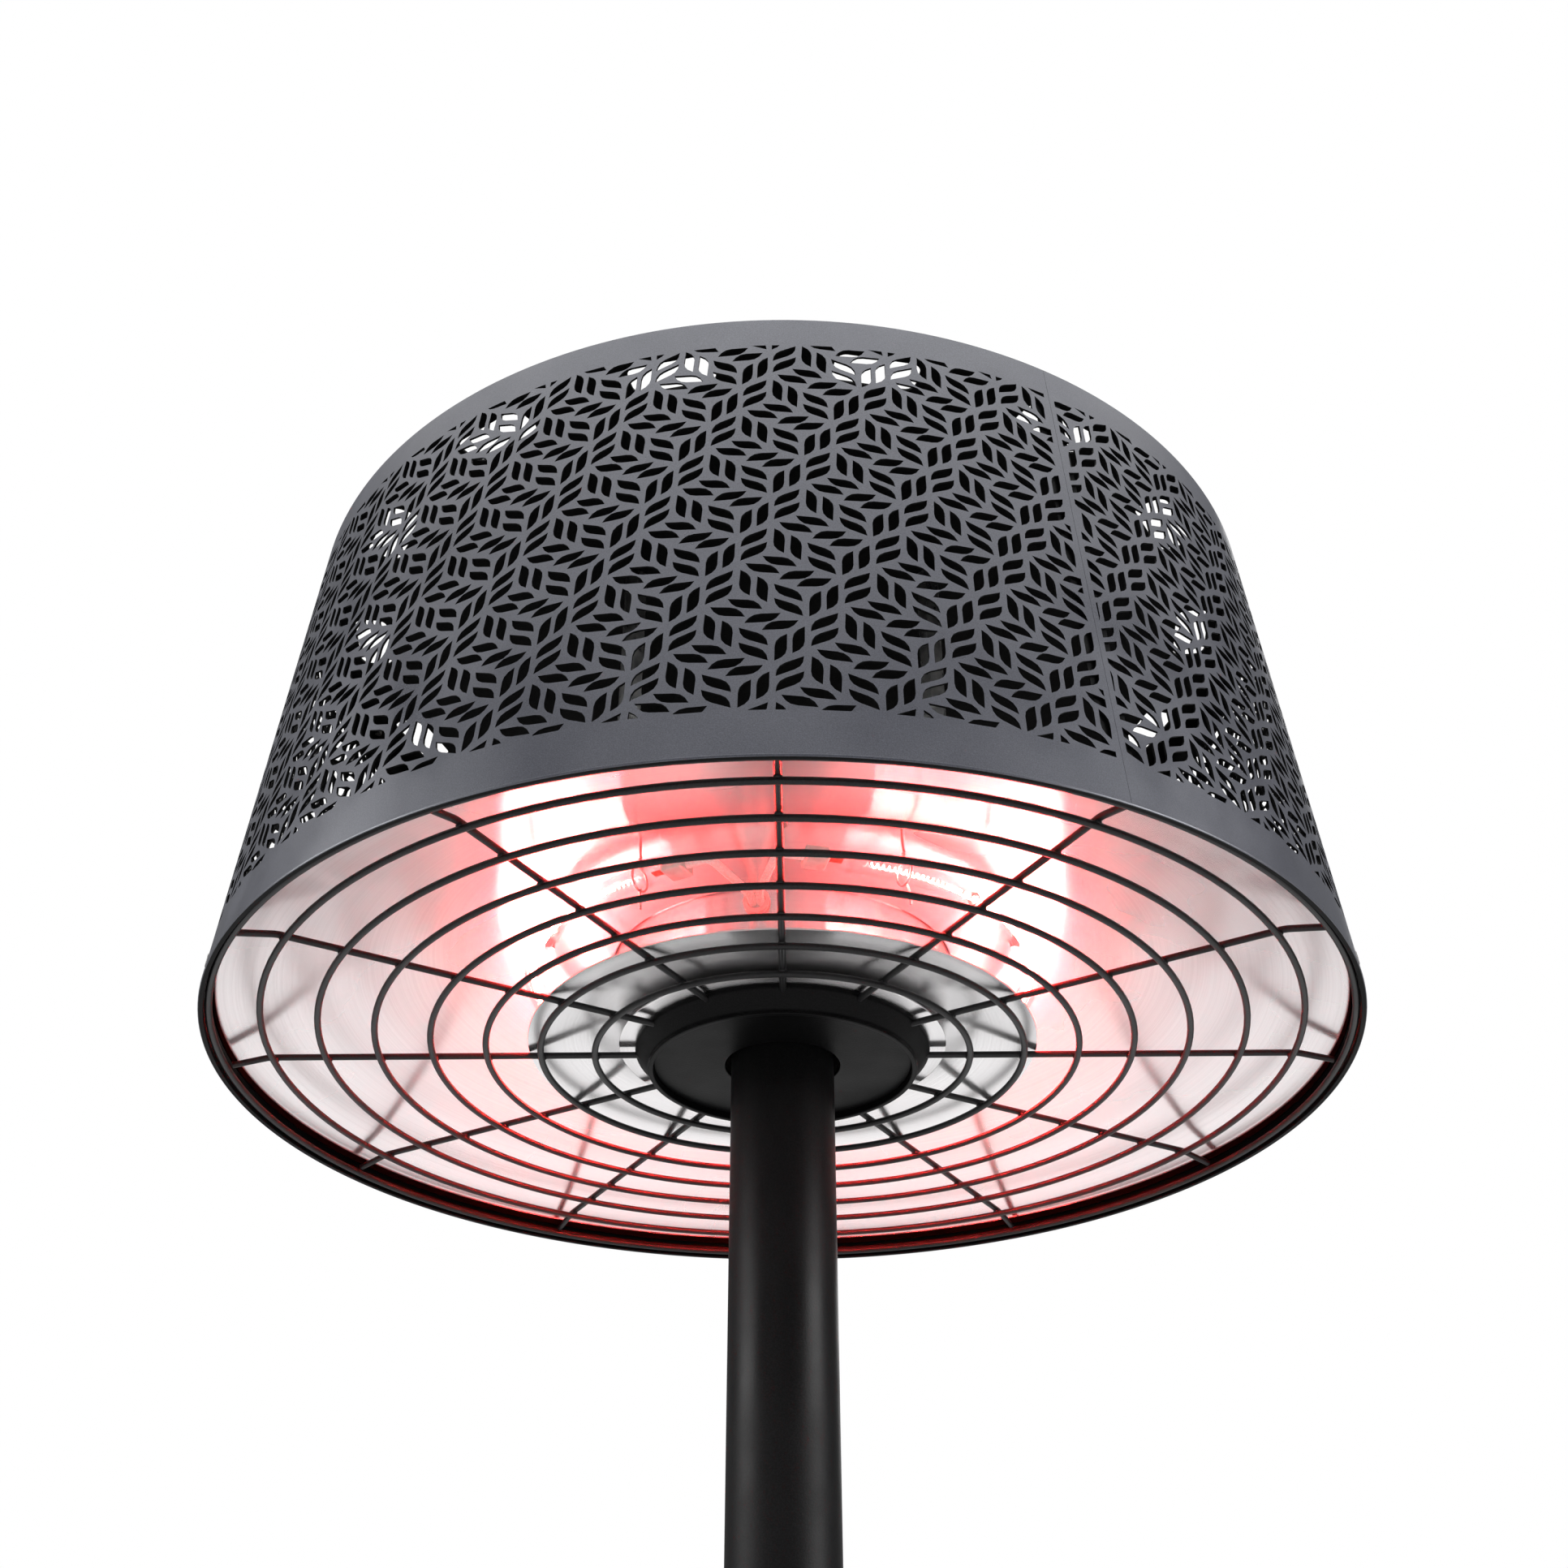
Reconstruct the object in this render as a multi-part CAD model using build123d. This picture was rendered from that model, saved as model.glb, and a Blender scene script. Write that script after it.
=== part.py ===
from build123d import *
import os
from math import atan, atan2, cos, degrees, hypot, radians, sin, sqrt

# Free-standing infrared patio heater: a drum-shaped shade on a pole with a round weighted base.
# Millimetres. Z runs up the pole, the ground is z = 0, and the near side of the shade is -Y.
# Angles around the pole are counted from the near side towards +X.

# ---- driving dimensions -------------------------------------------------------------------
running_fit = 0.05
small_flat_count = 8
wire_flats = 6
ring_chords = 36
loose_gap = 0.3
screw_clearance = 0.1

# base
base_radius = 240.0
cover_thickness = 1.5
cover_skirt_height = 24.0
cover_ground_gap = 5.0
cover_crown_rise = 16.0
cover_shoulder_radius = 10.0
weight_radius = 212.0
weight_thickness = 16.0
weight_edge_chamfer = 3.0
cable_way_radius = 9.0
gland_radius = 5.5
gland_bore_radius = 3.5
gland_height = 13.0
gland_collar_radius = 7.5
gland_collar_thickness = 4.0
gland_nut_radius = 7.0
gland_nut_thickness = 4.0
foot_radius = 15.0
foot_height = 8.0
foot_count = 5
foot_circle_radius = 190.0

# pole
pole_radius = 25.0
pole_wall = 2.0
lower_pole_length = 930.0
socket_height = 110.0
socket_wall = 3.0
socket_flange_width = 90.0
socket_flange_thickness = 6.0
socket_bolt_circle_radius = 48.0
socket_bolt_radius = 4.0
socket_bolt_grip = 12.0
socket_bolt_head = 7.5
socket_bolt_head_height = 5.3
socket_flange_corner = 12.0
joiner_length = 160.0
pole_screw_radius = 2.4
pole_screw_head = 4.2
pole_screw_head_height = 2.2
joiner_screw_share = 0.3
mast_screw_offset = 70.0
collar_height = 8.0
collar_width = 11.0

# shade
rim_height = 1850.0
shade_height = 251.0
shade_bottom_radius = 275.0
shade_top_radius = 252.0
shade_thickness = 1.0
hem_width = 2.4
hem_thickness = 1.2
top_flange_width = 10.0
seam_angle = 28.6
seam_groove_width = 0.8
seam_groove_depth = 0.5
seam_strip_width = 14.0
seam_strip_thickness = 0.8
seam_strip_margin = 20.0
seam_strip_gap = 0.6
slot_column_count = 24
slot_row_count = 6
slot_width = 36.0
slot_height = 23.0
slot_slant = 14.0
slot_band_bottom = 22.0
slot_band_top = 234.0
rim_screw_angles = (-70.0, 70.0, 180.0)
rim_screw_height = 13.0
rim_screw_radius = 2.0
rim_screw_head = 3.4
rim_screw_length = 3.6
bracket_block_width = 14.0
bracket_block_height = 8.0

# top plate
top_plate_thickness = 1.2
vent_count = 15
vent_first_angle = -12.9
vent_inset = 26.0
vent_length = 40.0
vent_width = 17.0
vent_corner = 5.0
top_screw_count = 6
top_screw_radius = 2.0
top_screw_head = 3.6
top_screw_head_height = 2.0
top_screw_angle = 15.0
post_angle = 45.0

# guard: spokes above, rings below, an outer ring inside the hem
spoke_count = 12
spoke_turn = -0.6
spoke_height = 9.6
guard_wire = 3.2
ring_count = 7
first_ring_radius = 91.4
last_ring_inset = 15.1
weld_bite = 0.4
outer_ring_wire = 3.4
outer_ring_height = 2.9
spoke_bend_inset = 6.5

# hub under the lamp housing
hub_rim_radius = 65.4
hub_rim_height = 2.2
hub_wide_radius = 72.0
hub_wide_height = 10.0
hub_shoulder_height = 12.6
hub_neck_radius = 67.0
hub_wall = 2.5
hub_plate_thickness = 2.0
hub_plate_inset = 3.5
hub_plate_hole_radius = 28.0
hub_top_flange = 2.4
hub_screw_radius = 1.5
hub_screw_head = 2.8
hub_screw_head_height = 1.8
collar_disc_radius = 80.0
collar_disc_thickness = 0.8

# reflectors
reflector_sheet = 0.8
pan_lip_gap = 5.0
pan_lip_height = 7.6
pan_lip_depth = 5.0
pan_slope = 0.4
pan_ridge_radius = 118.0
pan_inner_height = 56.0
dish_edge_radius = 124.0
dish_edge_height = 11.5
dish_slope = 0.2
drum_radius = 84.0
drum_flange_width = 30.0

# lamp
lamp_circle_radius = 123.5
lamp_height = 48.0
lamp_tube_radius = 5.0
lamp_tube_wall = 1.0
lamp_tube_flats = 10
lamp_chord = 9.0
lamp_bead = 0.3
lamp_bead_length = 4.0
lamp_right_end = 14.0
lamp_left_end = -29.5
filament_radius = 1.1
filament_support_count = 5
seal_length = 15.0
seal_width = 8.6
seal_thickness = 2.6
seal_grip = 5.0
ceramic_length = 11.0
ceramic_width = 12.0
ceramic_thickness = 6.5
clip_wire = 1.2
clip_angles = (26.5, 118.0, 220.0, 328.5)
clip_tail = 11.0
lead_radius = 2.0
lead_exit_angle = -8.0
lead_bend_radius = 7.0
grommet_radius = 6.4
grommet_lip = 1.1
grommet_bore_radius = 4.4
grommet_height = 6.0
terminal_face = 74.0
terminal_depth = 18.0
terminal_width = 30.0
terminal_height = 16.0
terminal_well_radius = 2.6
terminal_pitch = 9.0

# structure above the reflector
mast_socket_wall = 3.2
mast_socket_height = 76.0
mast_flange_radius = 92.0
mast_flange_flats = 24
mast_flange_thickness = 4.0
mast_flange_height = 100.0
mast_lip_radius = 15.0
chassis_radius = 150.0
chassis_flats = 16
chassis_thickness = 3.0
post_count = 4
post_radius = 6.0
post_circle_radius = 108.0
stud_radius = 2.5
stud_nut = 4.6
stud_nut_height = 4.0
stud_stand_out = 8.0
cutout_radius = 8.0
cutout_height = 7.0
cutout_flange_radius = 12.0
cutout_circle_radius = 100.0

# tip-over switch on the chassis
bracket_length = 46.0
bracket_width = 30.0
bracket_height = 52.0
bracket_sheet = 2.0
pendulum_pin_radius = 2.0
pendulum_pin_height = 42.0
pendulum_arm_length = 26.0
pendulum_bob_radius = 7.0
pendulum_bob_width = 12.0
pendulum_eye_radius = 5.0
pendulum_side_gap = 2.0
tilt_position = (0.0, 62.0)

# push switch on the back of the pole
switch_height = 1120.0
switch_width = 44.0
switch_length = 92.0
switch_depth = 24.0
switch_corner = 6.0
switch_screw_radius = 2.0
switch_screw_head = 3.9
switch_screw_recess = 4.0
switch_screw_share = 0.38
switch_edge = 2.0
switch_way_radius = 6.0
button_radius = 11.0
button_stand_out = 4.5
button_travel = 3.0
button_body_depth = 9.0

# ---- heights worked out from them ---------------------------------------------------------
weight_bottom = foot_height
weight_top = weight_bottom + weight_thickness
socket_flange_top = weight_top + socket_flange_thickness
lower_pole_top = socket_flange_top + lower_pole_length
pole_top = rim_height + mast_flange_height
pole_bore_radius = pole_radius - pole_wall
shade_slope = (shade_bottom_radius - shade_top_radius) / shade_height
shade_lean = degrees(atan(shade_slope))
socket_screw_height = socket_flange_top + 0.5 * socket_height
joiner_screw_heights = (lower_pole_top - joiner_screw_share * joiner_length,
                        lower_pole_top + joiner_screw_share * joiner_length)
mast_screw_height = rim_height + mast_screw_offset
switch_face = pole_radius + switch_depth
switch_screw_offset = switch_screw_share * switch_length
vent_circle_radius = shade_top_radius - vent_inset
top_screw_circle = shade_top_radius - 0.5 * top_flange_width - 0.5
ring_height = spoke_height - guard_wire + weld_bite
pan_lip_radius = shade_bottom_radius - pan_lip_gap
lip_inner_radius = pan_lip_radius - reflector_sheet
pan_lip_top = pan_lip_height + pan_lip_depth
pan_ridge_height = pan_lip_top + (pan_lip_radius - pan_ridge_radius) * pan_slope
dish_inner_height = dish_edge_height + (dish_edge_radius - drum_radius) * dish_slope
drum_bottom = dish_inner_height + reflector_sheet
drum_top = mast_flange_height
spoke_bend_radius = pan_lip_radius - spoke_bend_inset
ring_pitch = (spoke_bend_radius - last_ring_inset - first_ring_radius) / (ring_count - 1)
spoke_start = hub_wide_radius - hub_wall
inner_flange_radius = drum_radius - drum_flange_width
hub_screw_circle = inner_flange_radius + 2 * hub_screw_head
cheek_gap = pendulum_bob_width + 2 * pendulum_side_gap
chassis_bottom = mast_flange_height + mast_flange_thickness
chassis_top = chassis_bottom + chassis_thickness
top_plate_height = shade_height - shade_thickness - top_plate_thickness
bottom_centre = (Align.CENTER, Align.CENTER, Align.MIN)


def shade_inner_radius(height):
    """Radius of the shade's inner face at a height above the rim."""
    return shade_bottom_radius - shade_slope * height - shade_thickness / cos(radians(shade_lean))


def place(angle, radius, height=0.0):
    """Location at an angle from the near side, its local X pointing away from the pole."""
    return Rot(0, 0, angle - 90) * Pos(radius, 0, height)


def head(shape):
    """Lift something modelled from the shade's rim to its place on the pole."""
    return Pos(0, 0, rim_height) * shape


def tube(outer, inner, bottom, top):
    """Plain ring or tube standing on the pole's axis."""
    wall = Cylinder(outer, top - bottom, align=bottom_centre)
    bore = Pos(0, 0, -1) * Cylinder(inner, top - bottom + 2, align=bottom_centre)
    return Pos(0, 0, bottom) * (wall - bore)


def spun(points):
    """Solid of revolution about the pole's axis from (radius, height) points."""
    outline = Polyline(*[(r, 0, h) for r, h in points], close=True)
    return revolve(make_face(outline), Axis.Z)


def spun_sheet(points, thickness):
    """Spun sheet metal: the line through the points, thickened to its left side."""
    normals = []
    for (r0, h0), (r1, h1) in zip(points, points[1:]):
        run = hypot(r1 - r0, h1 - h0)
        normals.append(((h0 - h1) / run, (r1 - r0) / run))
    offset = []
    for i, (r, h) in enumerate(points):
        n0 = normals[max(i - 1, 0)]
        n1 = normals[min(i, len(normals) - 1)]
        reach = thickness / (1 + n0[0] * n1[0] + n0[1] * n1[1])
        offset.append((r + (n0[0] + n1[0]) * reach, h + (n0[1] + n1[1]) * reach))
    return spun(points + offset[::-1])


def bar(radius, length, flats=small_flat_count):
    """Small bar or hole standing on z = 0, drawn with a few flats."""
    return extrude(RegularPolygon(radius, flats), amount=length)


def drill(radius, length):
    """Through hole for a small bar, centred on z = 0."""
    return Pos(0, 0, -length / 2) * bar(radius + screw_clearance, length)


def screw(shank_radius, length, head_radius, head_height):
    """Screw pointing down -Z from z = 0, with its head above."""
    return Pos(0, 0, -length) * bar(shank_radius, length + 0.5) + bar(head_radius, head_height)


def around(count, shape, radius, height, start=0.0):
    """Copies of a shape at even angles."""
    return [place(start + 360 * i / count, radius, height) * shape for i in range(count)]


# ---- base ---------------------------------------------------------------------------------
def cover_top(radius):
    """Height of the cover's upper face, a shallow cone resting just over the weight's edge."""
    edge = weight_top + loose_gap + cover_thickness
    return edge + cover_crown_rise * (weight_radius - radius) / weight_radius


def make_base_cover():
    """Spun cover: skirt, rounded shoulder and shallow crown, open round the pole."""
    hole = pole_radius + loose_gap
    corner = base_radius - cover_shoulder_radius
    skirt_top = cover_ground_gap + cover_skirt_height - cover_shoulder_radius
    rise = cover_top(corner) - skirt_top
    shoulder = [(corner + cover_shoulder_radius * sin(radians(a)), skirt_top + rise * cos(radians(a)))
                for a in (0, 30, 60, 90)]
    points = [(hole, cover_top(hole))] + shoulder + [(base_radius, cover_ground_gap)]
    cover = spun_sheet(points, -cover_thickness)
    gland_hole = bar(gland_radius + running_fit, 20)
    gland_hole = Pos(0, base_radius - 10, gland_height) * Rot(-90, 0, 0) * gland_hole
    return cover - gland_hole


def make_cable_gland():
    """Empty cable gland through the back of the skirt: collar, waist and inner nut."""
    inner_face = sqrt((base_radius - cover_thickness) ** 2 - gland_nut_radius ** 2) - running_fit
    waist = Pos(0, 0, -13) * bar(gland_radius, 22)
    collar = bar(gland_collar_radius, gland_collar_thickness, 12)
    nut = Pos(0, 0, inner_face - gland_nut_thickness - base_radius) * bar(gland_nut_radius,
                                                                         gland_nut_thickness, 6)
    bore = drill(gland_bore_radius, 60)
    return Pos(0, base_radius, gland_height) * Rot(-90, 0, 0) * (waist + collar + nut - bore)


def make_base_weight():
    """Cast disc with a chamfered top edge, bolt holes, a cable way and a trench out to the back."""
    disc = Pos(0, 0, weight_bottom) * Cylinder(weight_radius, weight_thickness, align=bottom_centre)
    disc = chamfer(disc.edges().group_by(Axis.Z)[-1], weight_edge_chamfer)
    way = drill(cable_way_radius, 4 * weight_top)
    trench = Pos(0, 0, weight_bottom) * Box(2 * cable_way_radius, weight_radius + 10, 20,
                                            align=(Align.CENTER, Align.MIN, Align.CENTER))
    holes = around(4, drill(socket_bolt_radius, 2 * weight_thickness - 4), socket_bolt_circle_radius,
                   weight_top, 45)
    return disc - way - trench - Compound(holes)


def make_base_feet():
    """Rubber feet under the weight."""
    return Compound(around(foot_count, bar(foot_radius, foot_height, 16), foot_circle_radius, 0))


# ---- pole ---------------------------------------------------------------------------------
def make_pole_socket():
    """Square-flanged stub bolted to the weight; the pole slips over it."""
    outer = pole_bore_radius - loose_gap
    flange = Box(socket_flange_width, socket_flange_width, socket_flange_thickness, align=bottom_centre)
    flange = chamfer(flange.edges().filter_by(Axis.Z), socket_flange_corner)
    flange = Pos(0, 0, weight_top) * flange
    stub = tube(outer, outer - socket_wall, socket_flange_top, socket_flange_top + socket_height)
    holes = around(4, drill(socket_bolt_radius, 20), socket_bolt_circle_radius, weight_top, 45)
    way = Pos(0, 0, weight_top) * drill(cable_way_radius, 20)
    return flange + stub - way - Compound(holes) - side_holes((socket_screw_height,))


def make_socket_bolts():
    """Hexagon bolts that hold the socket to the weight."""
    shank = Pos(0, 0, -socket_flange_thickness - socket_bolt_grip) * bar(
        socket_bolt_radius, socket_flange_thickness + socket_bolt_grip + 1)
    bolt = bar(socket_bolt_head, socket_bolt_head_height, 6) + shank
    return Compound(around(4, bolt, socket_bolt_circle_radius, socket_flange_top, 45))


def side_screws(heights, engage):
    """Radial screws on the +X and -X sides of the pole, heads on its face."""
    one = screw(pole_screw_radius, engage, pole_screw_head, pole_screw_head_height)
    return Compound([place(side, pole_radius + running_fit, h) * Rot(0, 90, 0) * one
                     for h in heights for side in (90, -90)])


def side_holes(heights):
    """Clearance holes for those screws."""
    one = Rot(0, 90, 0) * drill(pole_screw_radius, 4 * pole_radius)
    return Compound([Pos(0, 0, h) * one for h in heights])


def make_lower_pole():
    """Lower tube, standing on the socket's flange."""
    pole = tube(pole_radius, pole_bore_radius, socket_flange_top, lower_pole_top)
    return pole - side_holes((socket_screw_height, joiner_screw_heights[0])) - switch_holes()


def make_upper_pole():
    """Upper tube, carrying the head on its top end."""
    pole = tube(pole_radius, pole_bore_radius, lower_pole_top, pole_top)
    return pole - side_holes((joiner_screw_heights[1], mast_screw_height)) - switch_holes()


def make_pole_joiner():
    """Inner sleeve that joins the two tubes."""
    outer = pole_bore_radius - loose_gap
    low = lower_pole_top - joiner_length / 2
    return tube(outer, outer - pole_wall, low, low + joiner_length) - side_holes(joiner_screw_heights)


def make_pole_screws():
    """Screws of the socket joint and of the joiner."""
    engage = pole_wall + loose_gap + pole_wall
    return side_screws((socket_screw_height,) + joiner_screw_heights, engage)


def make_base_collar():
    """Moulded collar that covers the gap between the pole and the base cover."""
    inner = pole_radius + loose_gap
    seat = cover_top(inner)
    slope = cover_crown_rise / weight_radius
    outer = inner + collar_width
    points = [(inner, seat), (outer, seat - slope * collar_width),
              (inner + 3, seat + collar_height), (inner, seat + collar_height)]
    return spun(points)


# ---- push switch --------------------------------------------------------------------------
def switch_holes():
    """Holes through the back of the pole for the switch's screws and wires."""
    across = Pos(0, pole_radius, switch_height) * Rot(-90, 0, 0)
    one = across * drill(switch_screw_radius, 3 * pole_wall)
    wires = across * drill(switch_way_radius, 3 * pole_wall)
    return Compound([Pos(0, 0, -switch_screw_offset) * one, Pos(0, 0, switch_screw_offset) * one, wires])


def make_switch_housing():
    """Rounded housing saddled on the back of the pole, bored for the button and its screws."""
    block = Box(switch_width, switch_depth + 8, switch_length, align=(Align.CENTER, Align.MAX, Align.CENTER))
    block = Pos(0, switch_face, 0) * block
    block = fillet(block.edges().filter_by(Axis.Y), switch_corner)
    block = chamfer(block.faces().sort_by(Axis.Y)[-1].edges(), switch_edge)
    saddle = Cylinder(pole_radius + running_fit, 2 * switch_length)
    out = Rot(-90, 0, 0)
    well_bottom = switch_face - button_body_depth - button_travel - 1.0
    well = Pos(0, well_bottom, 0) * out * Cylinder(button_radius + loose_gap, 40, align=bottom_centre)
    inside = Pos(0, pole_radius, 0) * out * drill(switch_way_radius, 30)
    body = block - saddle - well - inside
    for side in (-1, 1):
        seat = Pos(0, switch_face - switch_screw_recess, side * switch_screw_offset) * out
        body -= seat * bar(switch_screw_head + loose_gap, 20)
        body -= seat * drill(switch_screw_radius, 60)
    return Pos(0, 0, switch_height) * body


def make_switch_screws():
    """Two screws from the housing's face into the pole."""
    one = screw(switch_screw_radius, switch_depth - switch_screw_recess + pole_wall, switch_screw_head,
                pole_screw_head_height)
    seat = switch_face - switch_screw_recess
    offsets = (-switch_screw_offset, switch_screw_offset)
    return Compound([Pos(0, seat, switch_height + z) * Rot(-90, 0, 0) * one for z in offsets])


def make_power_button():
    """Round push button, sprung outwards."""
    cap = Cylinder(button_radius, button_body_depth + button_stand_out, align=bottom_centre)
    cap = chamfer(cap.edges().group_by(Axis.Z)[-1], 1.2)
    return Pos(0, switch_face - button_body_depth, switch_height) * Rot(-90, 0, 0) * cap


# ---- shade --------------------------------------------------------------------------------
def shade_slots():
    """Slanting slots between two plain bands, leaning the other way in each row, clear of the seam."""
    half = slot_width / 2
    rise = slot_height / 2
    tip = slot_slant / 2
    row_pitch = (slot_band_top - slot_band_bottom) / slot_row_count
    slots = []
    for row in range(slot_row_count):
        lean = tip if row % 2 else -tip
        corners = ((-half - lean, -rise), (half - lean, -rise), (half + lean, rise), (-half + lean, rise))
        slot = extrude(Plane.YZ * Polygon(*corners), amount=4 * shade_thickness, both=True)
        up = (slot_band_bottom + (row + 0.5) * row_pitch) * cos(radians(shade_lean))
        slot = Rot(0, -shade_lean, 0) * slot
        half_column = 180 / slot_column_count
        slots += around(slot_column_count, slot, shade_bottom_radius - shade_slope * up, up,
                        seam_angle + half_column)
    return slots


def make_shade():
    """Conical slotted sheet with a hem turned in below and a narrow flange turned in above."""
    skin = shade_thickness / cos(radians(shade_lean))
    top_inner = shade_top_radius - skin
    bottom_inner = shade_bottom_radius - skin
    points = [
        (shade_bottom_radius - hem_width, 0), (shade_bottom_radius, 0),
        (shade_top_radius, shade_height), (shade_top_radius - top_flange_width, shade_height),
        (shade_top_radius - top_flange_width, shade_height - shade_thickness),
        (top_inner + shade_slope * shade_thickness, shade_height - shade_thickness),
        (bottom_inner - shade_slope * hem_thickness, hem_thickness),
        (shade_bottom_radius - hem_width, hem_thickness),
    ]
    shell = spun(points)
    middle = (shade_bottom_radius + shade_top_radius) / 2
    groove = Box(2 * seam_groove_depth, seam_groove_width, 2 * shade_height)
    groove = place(seam_angle, middle, shade_height / 2) * Rot(0, -shade_lean, 0) * groove
    side = Rot(0, 90, 0) * drill(rim_screw_radius, 12)
    holes = [place(a, shade_bottom_radius, rim_screw_height) * side for a in rim_screw_angles]
    holes += around(top_screw_count, drill(top_screw_radius, 10), top_screw_circle, shade_height,
                    top_screw_angle)
    return head(shell - groove - Compound(holes) - Compound(shade_slots()))


def make_seam_strip():
    """Strip spot-welded behind the butt joint of the shade."""
    inner = shade_inner_radius(shade_height / 2)
    length = shade_height - 2 * seam_strip_margin
    strip = Box(seam_strip_thickness, seam_strip_width, length)
    back = seam_strip_thickness / 2 + seam_strip_gap + seam_strip_width ** 2 / (8 * shade_top_radius)
    return head(place(seam_angle, inner - back, shade_height / 2) * Rot(0, -shade_lean, 0) * strip)


def make_top_plate():
    """Flat lid under the shade's top flange, with a ring of vents."""
    radius = shade_inner_radius(shade_height) - loose_gap
    disc = Pos(0, 0, top_plate_height) * Cylinder(radius, top_plate_thickness, align=bottom_centre)
    vent = chamfer(Rectangle(vent_width, vent_length).vertices(), vent_corner)
    vent = extrude(vent, amount=5, both=True)
    cuts = around(vent_count, vent, vent_circle_radius, top_plate_height, vent_first_angle)
    hole = drill(top_screw_radius, 10)
    cuts += around(top_screw_count, hole, top_screw_circle, top_plate_height, top_screw_angle)
    cuts += around(post_count, hole, post_circle_radius, top_plate_height, post_angle)
    return head(disc - Compound(cuts))


def make_top_screws():
    """Small screws through the top flange and into the lid, and lid to posts."""
    grip = shade_thickness + top_plate_thickness
    rim = screw(top_screw_radius, grip + 3, top_screw_head, top_screw_head_height)
    post = screw(top_screw_radius, top_plate_thickness + 7, top_screw_head, top_screw_head_height)
    shapes = around(top_screw_count, rim, top_screw_circle, shade_height, top_screw_angle)
    lid_top = top_plate_height + top_plate_thickness
    shapes += around(post_count, post, post_circle_radius, lid_top, post_angle)
    return head(Compound(shapes))


def make_rim_brackets():
    """Blocks between the reflector's lip and the shade's lower band."""
    sag = bracket_block_width ** 2 / (8 * pan_lip_radius)
    outer = shade_inner_radius(rim_screw_height + bracket_block_height / 2) - loose_gap - sag
    inner = pan_lip_radius + loose_gap
    wall = Box(outer - inner, bracket_block_width, bracket_block_height)
    shapes = []
    for a in rim_screw_angles:
        block = place(a, (outer + inner) / 2, rim_screw_height) * wall
        hole = place(a, inner, rim_screw_height) * Rot(0, 90, 0) * drill(rim_screw_radius, 30)
        shapes.append(block - hole)
    return head(Compound(shapes))


def make_rim_screws():
    """Screws through the lower band of the shade into the brackets."""
    face = shade_bottom_radius - shade_slope * (rim_screw_height - rim_screw_head) + running_fit
    one = screw(rim_screw_radius, rim_screw_length, rim_screw_head, hub_screw_head_height)
    shapes = [place(a, face, rim_screw_height) * Rot(0, 90, 0) * one for a in rim_screw_angles]
    return head(Compound(shapes))


# ---- guard --------------------------------------------------------------------------------
def guard_outer_radius():
    """Centre line of the outer ring, just inside the hem."""
    return shade_bottom_radius - hem_width - loose_gap - outer_ring_wire / 2


def wire_section(wire):
    """Section of a guard wire, with flats above and below where the wires are welded."""
    return RegularPolygon(wire / 2, wire_flats, major_radius=False, rotation=180 / wire_flats)


def wire_ring(radius, wire, height):
    """One ring of the guard, bent in even chords."""
    path = Rot(0, 0, 180 / ring_chords) * Wire(RegularPolygon(radius, ring_chords).edges())
    start = path @ 0
    along = path % 0
    section = Plane(origin=start, x_dir=Vector(start.X, start.Y, 0), z_dir=along) * wire_section(wire)
    return Pos(0, 0, height) * sweep(section, path=path, transition=Transition.RIGHT)


def make_wire_guard():
    """Welded guard: spokes hooked down to the outer ring, and the rings welded under them."""
    rings = [wire_ring(first_ring_radius + i * ring_pitch, guard_wire, ring_height)
             for i in range(ring_count)]
    outer = wire_ring(guard_outer_radius(), outer_ring_wire, outer_ring_height)
    start = spoke_start
    drop = spoke_height - outer_ring_height
    reach = guard_outer_radius() - spoke_bend_radius
    hook_length = hypot(drop, reach) - outer_ring_wire / 4
    hook_turn = atan2(drop, reach)
    end = (spoke_bend_radius + hook_length * cos(hook_turn), -hook_length * sin(hook_turn))
    path = Polyline((start, 0, 0), (spoke_bend_radius, 0, 0), (end[0], 0, end[1]))
    section = Plane(origin=(start, 0, 0), x_dir=(0, 1, 0), z_dir=(1, 0, 0)) * wire_section(guard_wire)
    spoke = sweep(section, path=path, transition=Transition.RIGHT)
    spokes = [place(spoke_turn + 360 * i / spoke_count, 0, spoke_height) * spoke
              for i in range(spoke_count)]
    guard = spokes[0]
    for piece in spokes[1:] + rings + [outer]:
        guard += piece
    return head(guard)


# ---- hub ----------------------------------------------------------------------------------
def hub_outline():
    """Outer outline of the hub: lower rim, swelling side, shoulder and neck."""
    return [
        (hub_rim_radius, 0.0), (hub_rim_radius, hub_rim_height), (hub_wide_radius, hub_wide_height),
        (hub_wide_radius, hub_shoulder_height), (hub_neck_radius, hub_shoulder_height),
        (hub_neck_radius, dish_inner_height)]


def make_hub_cup():
    """Black cup round the pole: the guard's spokes enter its side, a flange closes its neck."""
    neck_inner = hub_neck_radius - hub_wall
    inside = [
        (inner_flange_radius, dish_inner_height), (inner_flange_radius, dish_inner_height - hub_top_flange),
        (neck_inner, dish_inner_height - hub_top_flange),
        (hub_rim_radius - hub_wall, hub_plate_inset + hub_plate_thickness),
        (hub_rim_radius - hub_wall, 0.0)]
    cup = spun(hub_outline() + inside)
    reach = hub_wide_radius - spoke_start + 0.4
    bore = extrude(wire_section(guard_wire + 2 * running_fit), amount=reach + 10)
    bore = Pos(-reach, 0, 0) * Rot(0, 90, 0) * Rot(0, 0, 90) * bore
    holes = around(spoke_count, bore, hub_wide_radius, spoke_height, spoke_turn)
    holes += around(post_count, drill(hub_screw_radius, 20), hub_screw_circle, dish_inner_height, 45)
    return head(cup - Compound(holes))


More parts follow.
